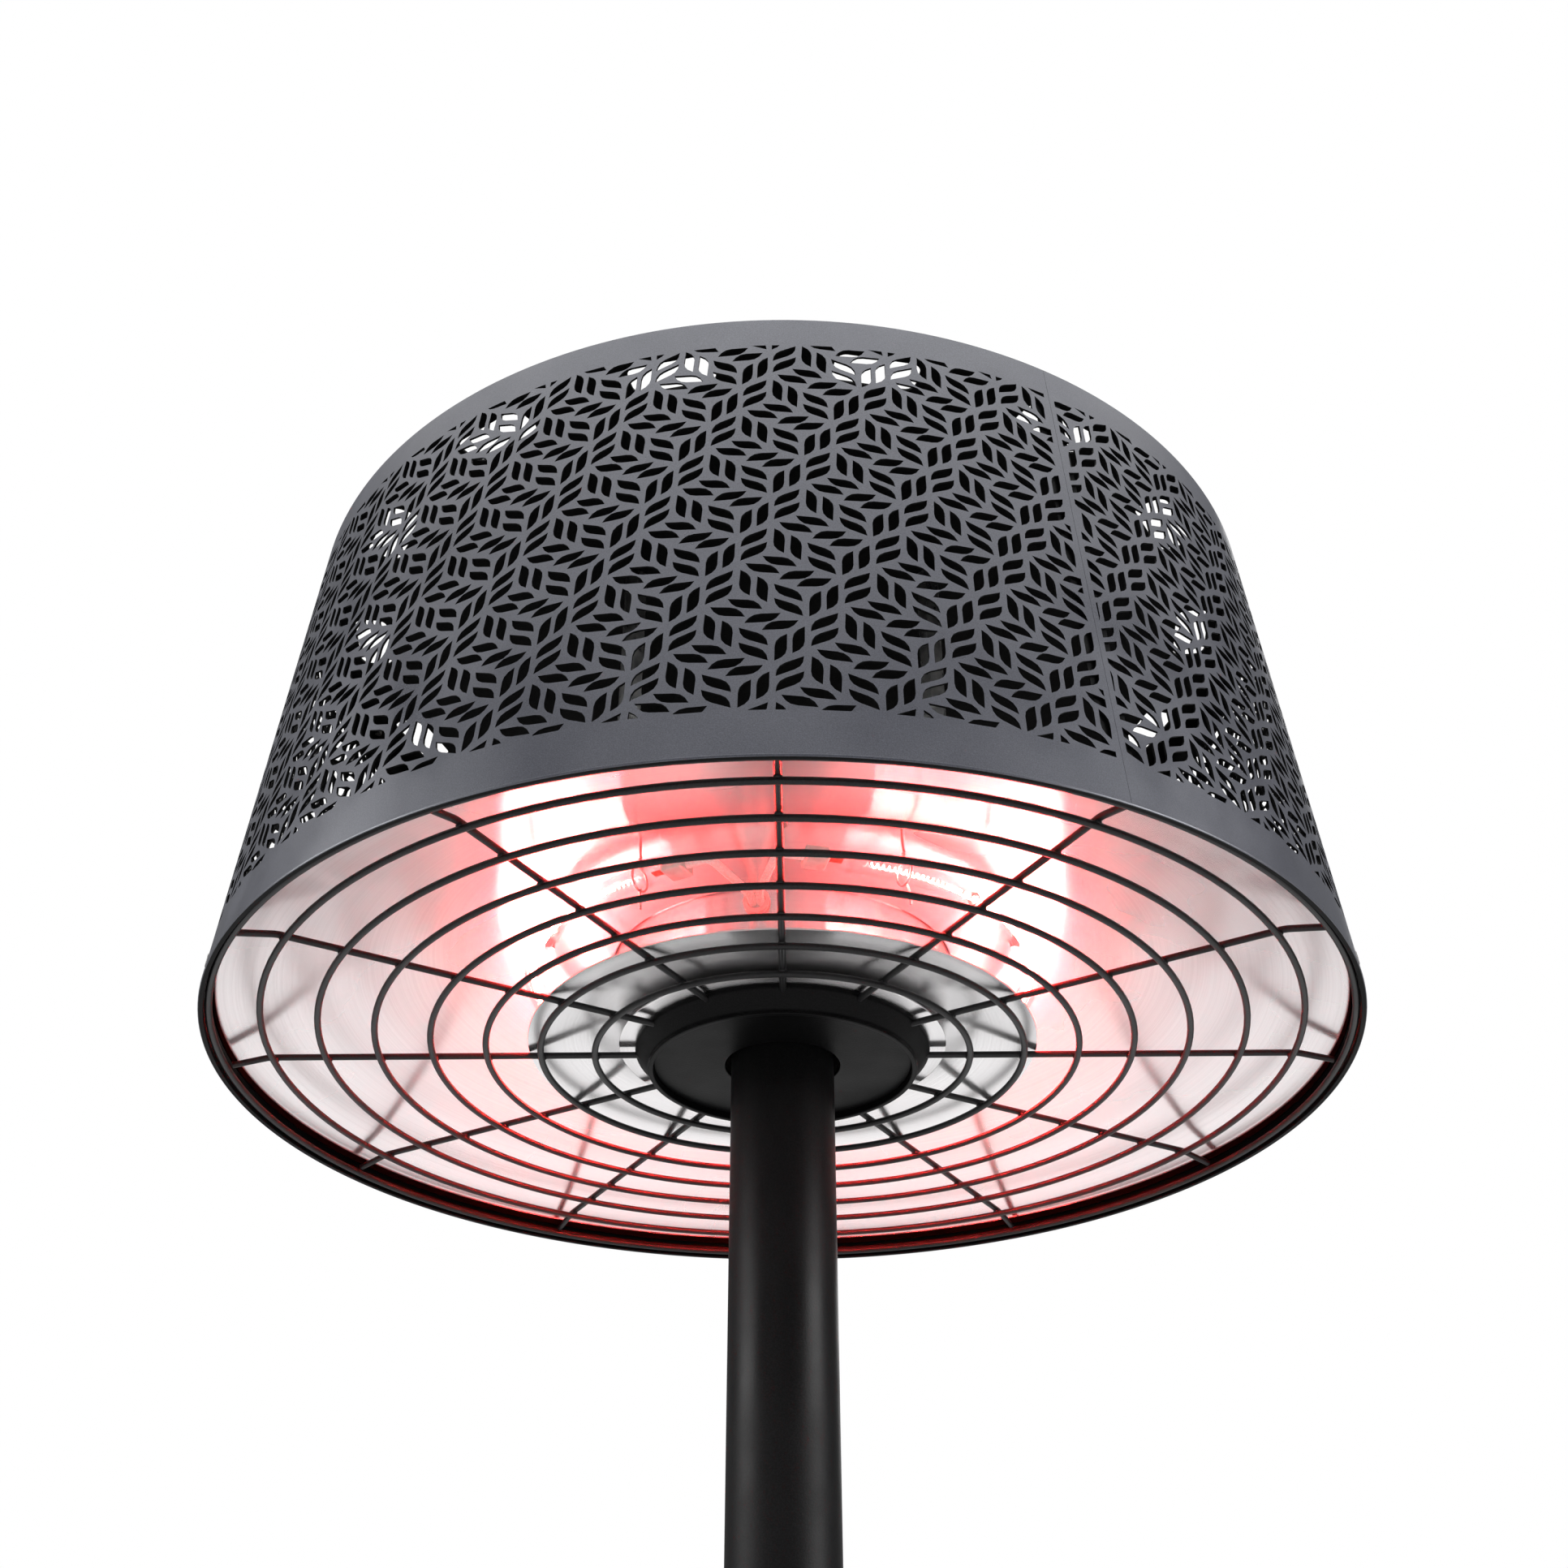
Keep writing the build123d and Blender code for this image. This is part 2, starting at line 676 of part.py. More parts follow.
def make_hub_plate():
    """Flat plate closing the cup round the pole."""
    outer = hub_rim_radius - hub_wall - running_fit
    plate = tube(outer, hub_plate_hole_radius, hub_plate_inset, hub_plate_inset + hub_plate_thickness)
    return head(plate)


def make_collar_disc():
    """Narrow bright ring on the hub's shoulder."""
    inner = hub_neck_radius + running_fit
    top = hub_shoulder_height + collar_disc_thickness
    return head(tube(collar_disc_radius, inner, hub_shoulder_height, top))


# ---- reflectors ---------------------------------------------------------------------------
def make_reflector_pan():
    """Spun reflector: short lip, long cone up to a ridge over the lamp, then down to the drum."""
    inner = drum_radius + running_fit
    points = [
        (pan_lip_radius, pan_lip_height), (pan_lip_radius, pan_lip_top),
        (pan_ridge_radius, pan_ridge_height), (inner + reflector_sheet, pan_inner_height),
    ]
    pan = spun_sheet(points, reflector_sheet)
    holes = around(post_count, drill(stud_radius, 40), pan_ridge_radius, pan_ridge_height, 0)
    pin = drill(clip_wire / 2, 40)
    holes += [place(a, lamp_circle_radius, pan_ridge_height) * pin for a in clip_angles]
    return head(pan - Compound(holes))


def make_inner_drum():
    """Bright drum between the reflector and the dish, flanged inwards at its lower end."""
    points = [(inner_flange_radius, drum_bottom), (drum_radius, drum_bottom), (drum_radius, drum_top)]
    drum = spun_sheet(points, reflector_sheet)
    hole = Pos(0, 0, -4) * bar(grommet_radius - grommet_lip + running_fit, 8, 12)
    hole = place(lead_exit_angle, drum_radius, lamp_height) * Rot(0, 90, 0) * hole
    screws = around(post_count, drill(hub_screw_radius, 6), hub_screw_circle, drum_bottom, 45)
    return head(drum - hole - Compound(screws))


def make_inner_reflector():
    """Shallow dish below the lamp, hiding the drum and throwing the heat outwards."""
    points = [(inner_flange_radius, dish_inner_height), (drum_radius, dish_inner_height),
              (dish_edge_radius, dish_edge_height)]
    dish = spun_sheet(points, reflector_sheet)
    screws = around(post_count, drill(hub_screw_radius, 6), hub_screw_circle, dish_inner_height, 45)
    return head(dish - Compound(screws))


def make_hub_screws():
    """Screws through the drum's flange and the dish into the hub's flange."""
    one = screw(hub_screw_radius, 2 * reflector_sheet + hub_top_flange - 0.4, hub_screw_head,
                hub_screw_head_height)
    return head(Compound(around(post_count, one, hub_screw_circle, drum_bottom + reflector_sheet, 45)))


# ---- lamp ---------------------------------------------------------------------------------
def lamp_arc(section_radius, flats, first, last):
    """Bar of a few flats along the lamp circle from one angle round to another."""
    chords = round((last - first) / lamp_chord)
    angles = [first + (last - first) * i / chords for i in range(chords + 1)]
    path = Polyline(*[place(a, lamp_circle_radius, lamp_height).position for a in angles])
    start = place(first, lamp_circle_radius, lamp_height).position
    plane = Plane(origin=start, x_dir=Vector(start.X, start.Y, 0), z_dir=path % 0)
    return sweep(plane * RegularPolygon(section_radius, flats), path=path, transition=Transition.RIGHT)


def end_place(end_angle, side, distance):
    """Location past a lamp end, local X along the lamp's tangent at that end."""
    turn = Rot(0, 0, end_angle - 90) * Pos(lamp_circle_radius, 0, lamp_height)
    return turn * Rot(0, 0, 90) * Pos(side * distance, 0, 0)


def make_quartz_tube():
    """Ring-shaped quartz tube, open over the near side, with flat pinched seals."""
    ends = (lamp_right_end, 360 + lamp_left_end)
    lamp = lamp_arc(lamp_tube_radius, lamp_tube_flats, *ends)
    lamp -= lamp_arc(lamp_tube_radius - lamp_tube_wall, lamp_tube_flats, *ends)
    for angle, side in ((lamp_right_end, -1), (lamp_left_end, 1)):
        bead = Pos(-lamp_bead_length / 2, 0, 0) * Rot(0, 90, 0) * bar(lamp_tube_radius + lamp_bead,
                                                                     lamp_bead_length, lamp_tube_flats)
        seal = Pos(side * seal_length / 2, 0, 0) * Box(seal_length, seal_width, seal_thickness)
        lamp += end_place(angle, side, 0) * (bead + seal)
    return head(lamp)


def make_filament():
    """Glowing coil on the tube's centre line, kept as its outer envelope."""
    margin = degrees(10.0 / lamp_circle_radius)
    return head(lamp_arc(filament_radius, 4, lamp_right_end + margin, 360 + lamp_left_end - margin))


def make_filament_supports():
    """Wire rings that keep the filament in the middle of the tube."""
    bore = lamp_tube_radius - lamp_tube_wall - 2 * loose_gap
    ring = bar(bore, 0.6) - Pos(0, 0, -1) * bar(filament_radius + loose_gap, 3, 4)
    ring = Rot(90, 0, 0) * Pos(0, 0, -0.3) * ring
    span = 360 + lamp_left_end - lamp_right_end
    step = span / filament_support_count
    angles = [lamp_right_end + step * (i + 0.5) for i in range(filament_support_count)]
    return head(Compound([place(a, lamp_circle_radius, lamp_height) * ring for a in angles]))


def make_lamp_ceramics():
    """Ceramic end caps gripping the seals."""
    shapes = []
    for angle, side in ((lamp_right_end, -1), (lamp_left_end, 1)):
        block = Box(ceramic_length, ceramic_width, ceramic_thickness)
        block = chamfer(block.edges().filter_by(Axis.X), 1.0)
        grip = Pos(-side * ceramic_length / 2, 0, 0) * Box(2 * seal_grip, seal_width + 2 * running_fit,
                                                          seal_thickness + 2 * running_fit)
        at = end_place(angle, side, seal_length - seal_grip + ceramic_length / 2)
        shapes.append(at * (block - grip))
    return head(Compound(shapes))


def pan_under_face(radius):
    """Height of the reflector's lower face on its long cone."""
    return pan_lip_top + (pan_lip_radius - radius) * pan_slope


def make_lamp_clips():
    """Wire clips: an eye round the tube, a stem hooked through the reflector and a short tail."""
    inner = lamp_tube_radius + 2 * loose_gap
    eye = bar(inner + clip_wire, clip_wire, 12) - Pos(0, 0, -1) * bar(inner, 4, 12)
    eye = Rot(90, 0, 0) * Pos(0, 0, -clip_wire / 2) * eye
    stem_top = pan_under_face(lamp_circle_radius) + 5.0 - lamp_height
    stem = Pos(0, 0, inner) * bar(clip_wire / 2, stem_top - inner, 6)
    hook = Pos(-3, 0, stem_top) * Rot(0, 90, 0) * bar(clip_wire / 2, 6.0, 6)
    tail = Pos(0, 0, -inner - clip_tail) * bar(clip_wire / 2, clip_tail - 0.3, 6)
    clip = eye + stem + hook + tail
    return head(Compound([place(a, lamp_circle_radius, lamp_height) * clip for a in clip_angles]))


def lead_route(side):
    """Points of one lead: along the lamp's tangent, then in through the drum's grommet."""
    end_angle = lamp_left_end if side > 0 else lamp_right_end
    past = seal_length - seal_grip + ceramic_length
    start = end_place(end_angle, side, past).position
    along = end_place(end_angle, side, past + 12.0).position
    inner = place(lead_exit_angle, terminal_face) * Pos(0, -side * (lead_radius + running_fit), 0)
    outer = place(lead_exit_angle, drum_radius + 9) * Pos(0, -side * (lead_radius + running_fit), 0)
    z = lamp_height
    return [(start.X, start.Y, z), (along.X, along.Y, z),
            (outer.position.X, outer.position.Y, z), (inner.position.X, inner.position.Y, z)]


def make_lead_sleeves():
    """Two sleeved leads from the ceramics to the terminal block inside the drum."""
    shapes = []
    for side in (-1, 1):
        points = lead_route(side)
        path = FilletPolyline(*points, radius=lead_bend_radius)
        direction = Vector(*points[1]) - Vector(*points[0])
        section = Plane(origin=points[0], z_dir=direction) * RegularPolygon(lead_radius, small_flat_count)
        shapes.append(sweep(section, path=path))
    return head(Compound(shapes))


def make_lead_grommet():
    """Ceramic bush in the drum's wall round both leads."""
    sag = grommet_radius ** 2 / (2 * drum_radius)
    wall = reflector_sheet + sag + 2 * running_fit
    lip = (grommet_height - wall) / 2
    body = bar(grommet_radius, lip, 12) + Pos(0, 0, lip) * bar(grommet_radius - grommet_lip, wall, 12)
    body += Pos(0, 0, lip + wall) * bar(grommet_radius, lip, 12)
    body -= Pos(0, 0, -1) * bar(grommet_bore_radius, 20, 12)
    middle = drum_radius - (reflector_sheet + sag) / 2 - grommet_height / 2
    return head(place(lead_exit_angle, middle, lamp_height) * Rot(0, 90, 0) * body)


def make_terminal_block():
    """Terminal block on an angle foot that stands on the drum's lower flange."""
    block = Box(terminal_depth, terminal_width, terminal_height)
    wells = [Pos(0, i * terminal_pitch, 2) * bar(terminal_well_radius, 10) for i in (-1, 0, 1)]
    block -= Compound(wells)
    low = drum_bottom + reflector_sheet
    centre = terminal_face - terminal_depth / 2
    post_top = lamp_height - terminal_height / 2
    post = Pos(0, 0, (low + post_top) / 2 - lamp_height) * Box(6, 24, post_top - low)
    at = place(lead_exit_angle, centre, lamp_height)
    return head(at * (block + Pos(3, 0, 0) * post))


# ---- head structure -----------------------------------------------------------------------
def make_mast_socket():
    """Socket on the pole's top end: sleeve, flange and the lip that sits on the pole."""
    bore = pole_radius + running_fit
    sleeve_bottom = mast_flange_height - mast_socket_height
    sleeve = tube(bore + mast_socket_wall, bore, sleeve_bottom, mast_flange_height + 1)
    flange = bar(mast_flange_radius, mast_flange_thickness, mast_flange_flats)
    flange = Pos(0, 0, mast_flange_height) * flange
    way = Pos(0, 0, mast_flange_height) * drill(mast_lip_radius, 20)
    cross = Pos(0, 0, mast_screw_height - rim_height) * Rot(0, 90, 0) * drill(pole_screw_radius, 100)
    stop = Pos(0, 0, mast_flange_height - 2) * Cylinder(bore, 2, align=bottom_centre)
    return head(sleeve - cross - stop + flange - way)


def make_mast_screws():
    """Screws through the socket into the pole."""
    bore = pole_radius + running_fit
    engage = mast_socket_wall + running_fit + pole_wall
    one = screw(pole_screw_radius, engage, pole_screw_head, pole_screw_head_height)
    face = bore + mast_socket_wall + running_fit
    sides = [place(a, face, mast_screw_height) * Rot(0, 90, 0) * one for a in (90, -90)]
    return Compound(sides)


def make_chassis_plate():
    """Disc on the mast flange that carries the lid's posts, the reflector's studs and the switch."""
    plate = Pos(0, 0, chassis_bottom) * bar(chassis_radius, chassis_thickness, chassis_flats)
    way = Pos(0, 0, chassis_bottom) * drill(mast_lip_radius, 20)
    holes = around(post_count, drill(stud_radius, 20), pan_ridge_radius, chassis_bottom, 0)
    return head(plate - way - Compound(holes))


def make_chassis_posts():
    """Posts between the chassis and the lid, tapped at the top."""
    post = bar(post_radius, top_plate_height - chassis_top, 6)
    tap = Pos(0, 0, top_plate_height - chassis_top) * drill(top_screw_radius, 20)
    return head(Compound(around(post_count, post - tap, post_circle_radius, chassis_top, post_angle)))


def make_pan_studs():
    """Studs from the reflector's ridge up through the chassis, with nuts at both ends."""
    low = pan_ridge_height - 5.0
    rod = bar(stud_radius, chassis_top + stud_stand_out - low)
    nut = bar(stud_nut, stud_nut_height, 6)
    lower_nut = Pos(0, 0, pan_ridge_height + reflector_sheet + 0.3 - low) * nut
    upper_nut = Pos(0, 0, chassis_top - low) * nut
    jam_nut = Pos(0, 0, chassis_bottom - stud_nut_height - low) * nut
    stud = rod + lower_nut + upper_nut + jam_nut
    return head(Compound(around(post_count, stud, pan_ridge_radius, low, 0)))


def make_thermal_cutout():
    """Disc thermostat on the chassis."""
    body = bar(cutout_radius, cutout_height, 16)
    flange = bar(cutout_flange_radius, 1.2, 16)
    tabs = Pos(0, 0, cutout_height) * (Pos(-3.5, 0, 0) * Box(0.8, 6, 10, align=bottom_centre)
                           + Pos(3.5, 0, 0) * Box(0.8, 6, 10, align=bottom_centre))
    return head(place(-90, cutout_circle_radius, chassis_top) * (body + flange + tabs))


# ---- tip-over switch ----------------------------------------------------------------------
def tilt(shape):
    """Place something of the tip-over switch on the chassis."""
    return head(Pos(tilt_position[0], tilt_position[1], chassis_top) * shape)


def make_tilt_bracket():
    """Folded bracket with two cheeks bored for the pin."""
    base = Box(bracket_width, cheek_gap + 2 * bracket_sheet + 14, bracket_sheet, align=bottom_centre)
    cheek = Box(bracket_width, bracket_sheet, bracket_height, align=bottom_centre)
    cheek = chamfer(cheek.edges().filter_by(Axis.Y).group_by(Axis.Z)[-1], 8)
    y = (cheek_gap + bracket_sheet) / 2
    pin = Pos(0, 0, pendulum_pin_height) * Rot(90, 0, 0) * Cylinder(pendulum_pin_radius + running_fit, 80)
    return tilt(base + Pos(0, y, 0) * cheek + Pos(0, -y, 0) * cheek - pin)


def make_tilt_pin():
    """Pin across the cheeks, with a head at each end."""
    length = cheek_gap + 2 * bracket_sheet + 2 * running_fit
    pin = Cylinder(pendulum_pin_radius, length + 4)
    caps = Pos(0, 0, length / 2) * bar(3.5, 1.5)
    pin = pin + caps + Rot(180, 0, 0) * caps
    return tilt(Pos(0, 0, pendulum_pin_height) * Rot(90, 0, 0) * pin)


def make_tilt_pendulum():
    """Weighted arm hanging on the pin; it swings when the heater leans."""
    across = Rot(90, 0, 0)
    eye = across * Cylinder(pendulum_eye_radius, pendulum_bob_width)
    arm = Pos(0, 0, -pendulum_arm_length / 2) * Box(4, 5, pendulum_arm_length)
    bob = Pos(0, 0, -pendulum_arm_length) * across * Cylinder(pendulum_bob_radius, pendulum_bob_width)
    bore = across * Cylinder(pendulum_pin_radius + running_fit, 40)
    return tilt(Pos(0, 0, pendulum_pin_height) * (eye + arm + bob - bore))


def make_tilt_microswitch():
    """Small snap switch screwed against the rear cheek."""
    body = Box(20, 6.4, 10.2)
    body = chamfer(body.edges().filter_by(Axis.Y), 1.0)
    y = cheek_gap / 2 + bracket_sheet + 3.2
    return tilt(Pos(0, y, 12) * body)


parts = {
    "base_cover": make_base_cover,
    "base_weight": make_base_weight,
    "base_feet": make_base_feet,
    "base_collar": make_base_collar,
    "cable_gland": make_cable_gland,
    "pole_socket": make_pole_socket,
    "socket_bolts": make_socket_bolts,
    "lower_pole": make_lower_pole,
    "upper_pole": make_upper_pole,
    "pole_joiner": make_pole_joiner,
    "pole_screws": make_pole_screws,
    "switch_housing": make_switch_housing,
    "switch_screws": make_switch_screws,
    "power_button": make_power_button,
    "shade": make_shade,
    "seam_strip": make_seam_strip,
    "top_plate": make_top_plate,
    "top_screws": make_top_screws,
    "rim_brackets": make_rim_brackets,
    "rim_screws": make_rim_screws,
    "wire_guard": make_wire_guard,
    "hub_cup": make_hub_cup,
    "hub_plate": make_hub_plate,
    "collar_disc": make_collar_disc,
    "reflector_pan": make_reflector_pan,
    "inner_drum": make_inner_drum,
    "inner_reflector": make_inner_reflector,
    "hub_screws": make_hub_screws,
    "quartz_tube": make_quartz_tube,
    "filament": make_filament,
    "filament_supports": make_filament_supports,
    "lamp_ceramics": make_lamp_ceramics,
    "lamp_clips": make_lamp_clips,
    "lead_sleeves": make_lead_sleeves,
    "lead_grommet": make_lead_grommet,
    "terminal_block": make_terminal_block,
    "mast_socket": make_mast_socket,
    "mast_screws": make_mast_screws,
    "chassis_plate": make_chassis_plate,
    "chassis_posts": make_chassis_posts,
    "pan_studs": make_pan_studs,
    "thermal_cutout": make_thermal_cutout,
    "tilt_bracket": make_tilt_bracket,
    "tilt_pin": make_tilt_pin,
    "tilt_pendulum": make_tilt_pendulum,
    "tilt_microswitch": make_tilt_microswitch,
}

os.makedirs("parts", exist_ok=True)
for name, make in parts.items():
    export_step(make(), f"parts/{name}.step")
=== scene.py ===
import math

import bmesh
import bpy
from mathutils import Matrix, Vector
from mathutils.geometry import delaunay_2d_cdt


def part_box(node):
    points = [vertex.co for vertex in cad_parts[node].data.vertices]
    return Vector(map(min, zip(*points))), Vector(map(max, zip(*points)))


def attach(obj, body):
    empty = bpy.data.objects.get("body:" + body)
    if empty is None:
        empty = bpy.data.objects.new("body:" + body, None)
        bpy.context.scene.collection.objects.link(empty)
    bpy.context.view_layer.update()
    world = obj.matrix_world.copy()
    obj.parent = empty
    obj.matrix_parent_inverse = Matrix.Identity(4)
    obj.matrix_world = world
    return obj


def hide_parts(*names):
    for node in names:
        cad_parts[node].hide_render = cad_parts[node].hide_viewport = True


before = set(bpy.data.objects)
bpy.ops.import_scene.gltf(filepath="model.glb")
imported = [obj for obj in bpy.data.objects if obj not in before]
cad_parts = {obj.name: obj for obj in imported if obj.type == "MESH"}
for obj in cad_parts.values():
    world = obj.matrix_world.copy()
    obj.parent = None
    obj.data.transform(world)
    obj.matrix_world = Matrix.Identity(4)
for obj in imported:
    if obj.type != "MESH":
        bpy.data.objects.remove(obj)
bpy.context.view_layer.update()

# ---- place and camera -----------------------------------------------------------------------
# The heater stands on the ground at the origin, +Z up its pole, the near side towards -Y.
# The camera looks up at the head from in front, as a person standing close to it would.
MM = 0.001
RIM = 1850.0


def at(angle, radius, height):
    """Point in metres at an angle from the near side towards +X, mm out and mm above the rim."""
    a = math.radians(angle)
    return Vector((radius * math.sin(a), -radius * math.cos(a), RIM + height)) * MM


def placed(name, data):
    """An object of the scene that shows a mesh, a lamp, a curve or a camera."""
    thing = bpy.data.objects.new(name, data)
    bpy.context.scene.collection.objects.link(thing)
    return thing


camera_out = 0.81897
camera_down = 0.36921
camera_tilt = 0.58080
camera_turn = -0.00127
camera_roll = -0.00268
camera_lens = bpy.data.cameras.new("camera")
camera_lens.sensor_width = 36.0
camera_lens.lens = 41.86
camera_lens.clip_start = 0.05
camera_lens.clip_end = 80.0
camera = placed("camera", camera_lens)
camera.matrix_world = (
    Matrix.Translation((0.0, -camera_out, RIM * MM - camera_down))
    @ Matrix.Rotation(camera_turn, 4, "Z")
    @ Matrix.Rotation(math.radians(90.0) + camera_tilt, 4, "X")
    @ Matrix.Rotation(camera_roll, 4, "Z")
)
bpy.context.scene.camera = camera
bpy.context.scene.view_settings.view_transform = "Standard"


# ---- studio ---------------------------------------------------------------------------------
# Pale plain floor, white surroundings and four large soft lamps. The camera sees white, the
# bright metal a sky that is dim low down and bright overhead; a paler sky lights the rest.
def fill(node, inputs):
    """Sets a node's sockets to values, or links them to other sockets or nodes."""
    for socket, value in inputs.items():
        if isinstance(value, bpy.types.Node):
            value = value.outputs[0]
        if isinstance(value, bpy.types.NodeSocket):
            node.id_data.links.new(value, node.inputs[socket])
        else:
            node.inputs[socket].default_value = value


def put(tree, kind, inputs=None, **settings):
    """A new node of a tree, its settings made and its sockets filled."""
    node = tree.nodes.new(kind)
    for name, value in settings.items():
        setattr(node, name, value)
    fill(node, inputs or {})
    return node


def seen_directly(tree):
    """1 for the rays that show a surface to the camera, to bright metal or through glass."""
    path = put(tree, "ShaderNodeLightPath")
    either = put(tree, "ShaderNodeMath", {
        0: path.outputs["Is Camera Ray"], 1: path.outputs["Is Glossy Ray"]}, operation="MAXIMUM")
    return put(tree, "ShaderNodeMath", {
        0: either, 1: path.outputs["Is Transmission Ray"]}, operation="MAXIMUM").outputs[0]


white = (1.0, 1.0, 1.0, 1.0)
sky_level = 0.55
sky_edge = 0.2
sky_crown = 4.7
crown_begins = 0.70
crown_full = 0.94
world = bpy.data.worlds.new("studio_sky")
world.use_nodes = True
sky = world.node_tree
sky_seen = put(sky, "ShaderNodeMapRange", {"Value": seen_directly(sky), "To Min": sky_level, "To Max": 1.0})
sky_way = put(sky, "ShaderNodeSeparateXYZ", {0: put(sky, "ShaderNodeTexCoord").outputs["Generated"]})
sky_rise = put(sky, "ShaderNodeMapRange", {
    "Value": sky_way.outputs[2], "From Min": crown_begins, "From Max": crown_full,
    "To Min": sky_edge, "To Max": sky_crown})
sky_paths = put(sky, "ShaderNodeLightPath")
sky_strength = put(sky, "ShaderNodeMix", {
    0: sky_paths.outputs["Is Glossy Ray"], 2: sky_seen, 3: sky_rise}, data_type="FLOAT")
fill(sky.nodes["Background"], {"Strength": sky_strength, "Color": white})
bpy.context.scene.world = world

floor_level = 0.51
floor_level_again = 0.05
floor_half = 12.0
floor_finish = bpy.data.materials.new("studio_floor")
floor_finish.use_nodes = True
floor_tree = floor_finish.node_tree
floor_again = put(floor_tree, "ShaderNodeMath", {
    0: put(floor_tree, "ShaderNodeLightPath").outputs["Ray Depth"], 1: 1.5}, operation="LESS_THAN")
floor_share = put(floor_tree, "ShaderNodeMapRange", {
    "Value": floor_again, "To Min": floor_level_again, "To Max": 1.0})
floor_seen = put(floor_tree, "ShaderNodeMath", {0: seen_directly(floor_tree), 1: floor_share},
                 operation="MULTIPLY")
floor_glow = put(floor_tree, "ShaderNodeMath", {0: floor_seen, 1: floor_level}, operation="MULTIPLY")
fill(floor_tree.nodes["Principled BSDF"], {
    "Base Color": (0.62, 0.62, 0.62, 1.0), "Roughness": 0.9, "Specular IOR Level": 0.1,
    "Emission Color": white, "Emission Strength": floor_glow})
floor_mesh = bpy.data.meshes.new("studio_floor")
floor_mesh.from_pydata([(-floor_half, -floor_half, 0), (floor_half, -floor_half, 0),
                        (floor_half, floor_half, 0), (-floor_half, floor_half, 0)], [], [(0, 1, 2, 3)])
floor_mesh.materials.append(floor_finish)
floor = placed("studio_floor", floor_mesh)

lit_middle = Vector((0, 0, 1.75))
for lamp_name, place, size, power in (
    ("softbox_front", (-1.3, -3.2, 3.3), 2.4, 8.0),
    ("softbox_right", (3.0, -1.2, 2.7), 1.8, 96.0),
    ("softbox_left", (-3.0, -0.6, 2.7), 1.8, 80.0),
    ("softbox_back", (0.6, 3.2, 3.6), 2.4, 40.0),
):
    softbox = bpy.data.lights.new(lamp_name, "AREA")
    softbox.size = size
    softbox.energy = power
    holder = placed(lamp_name, softbox)
    holder.location = place
    holder.rotation_euler = (lit_middle - Vector(place)).to_track_quat("-Z", "Y").to_euler()


# ---- base -----------------------------------------------------------------------------------
# A cast-iron disc on five rubber feet, under a spun sheet-steel cover with a fine black
# powder coat. The pole's welded socket is bolted to the disc.
def new_finish(name):
    """A material with its node tree, its shader and object coordinates."""
    material = bpy.data.materials.new(name)
    material.use_nodes = True
    tree = material.node_tree
    where = put(tree, "ShaderNodeTexCoord").outputs["Object"]
    return material, tree, tree.nodes["Principled BSDF"], where


def cloud(tree, where, scale, detail, stretch=(1.0, 1.0, 1.0)):
    """Noise from 0 to 1, at so many features a metre, stretched along the axes."""
    spread = put(tree, "ShaderNodeMapping", {"Vector": where, "Scale": stretch})
    noise = put(tree, "ShaderNodeTexNoise", {"Vector": spread, "Scale": scale, "Detail": detail})
    return noise.outputs["Fac"]


def level(tree, value, low, high, start=0.3, end=0.7):
    """Noise turned into a value between two others."""
    spread = {"Value": value, "From Min": start, "From Max": end, "To Min": low, "To Max": high}
    return put(tree, "ShaderNodeMapRange", spread).outputs[0]


def blended(tree, share, first, second):
    """Colour between two others."""
    mix = put(tree, "ShaderNodeMix", {0: share}, data_type="RGBA")
    for slot, value in ((6, first), (7, second)):
        fill(mix, {slot: (*value, 1.0) if isinstance(value, tuple) else value})
    return mix.outputs[2]


def relief(tree, shader, height, depth):
    """Bump of so many mm from noise."""
    fill(shader, {"Normal": put(tree, "ShaderNodeBump", {
        "Height": height, "Distance": depth * MM, "Strength": 1.0})})


def powder_coat(name, dark, light, gloss, grain=1400.0, peel=0.05, metal=0.0, sheen=0.22):
    """Powder coat: flecked colour, dulled here and there by handling, over a fine peel."""
    material, tree, shader, where = new_finish(name)
    flecks = level(tree, cloud(tree, where, grain, 2.0), 0.0, 1.0, 0.38, 0.66)
    haze = level(tree, cloud(tree, where, 9.0, 4.0), 0.0, 0.22)
    flecked = blended(tree, flecks, dark, light)
    dusty = tuple(1.25 * c + 0.002 for c in light)
    fill(shader, {
        "Base Color": blended(tree, haze, flecked, dusty), "Metallic": metal, "Specular IOR Level": sheen,
        "Roughness": level(tree, cloud(tree, where, 24.0, 5.0), gloss - 0.07, gloss + 0.09)})
    relief(tree, shader, cloud(tree, where, grain * 0.8, 2.0), peel)
    return material


black_coat = powder_coat("black_powder_coat", (0.0022, 0.0022, 0.0024), (0.0062, 0.0062, 0.0066), 0.40,
                         sheen=0.13)


def toned(name, dark, light, scale, detail, rough, metal=0.0, bump=None):
    """Finish mottled between two colours. Its roughness is a number, or noise scale, detail, low
    and high; its bump is noise scale, detail, depth in mm and, for scratches, stretch."""
    material, tree, shader, where = new_finish(name)
    mottle = level(tree, cloud(tree, where, scale, detail), 0.0, 1.0)
    if isinstance(rough, tuple):
        fineness, layers, low, high = rough
        rough = level(tree, cloud(tree, where, fineness, layers), low, high)
    fill(shader, {"Base Color": blended(tree, mottle, dark, light), "Metallic": metal, "Roughness": rough})
    if bump:
        fineness, layers, depth, *stretch = bump
        relief(tree, shader, cloud(tree, where, fineness, layers, *stretch), depth)
    return material


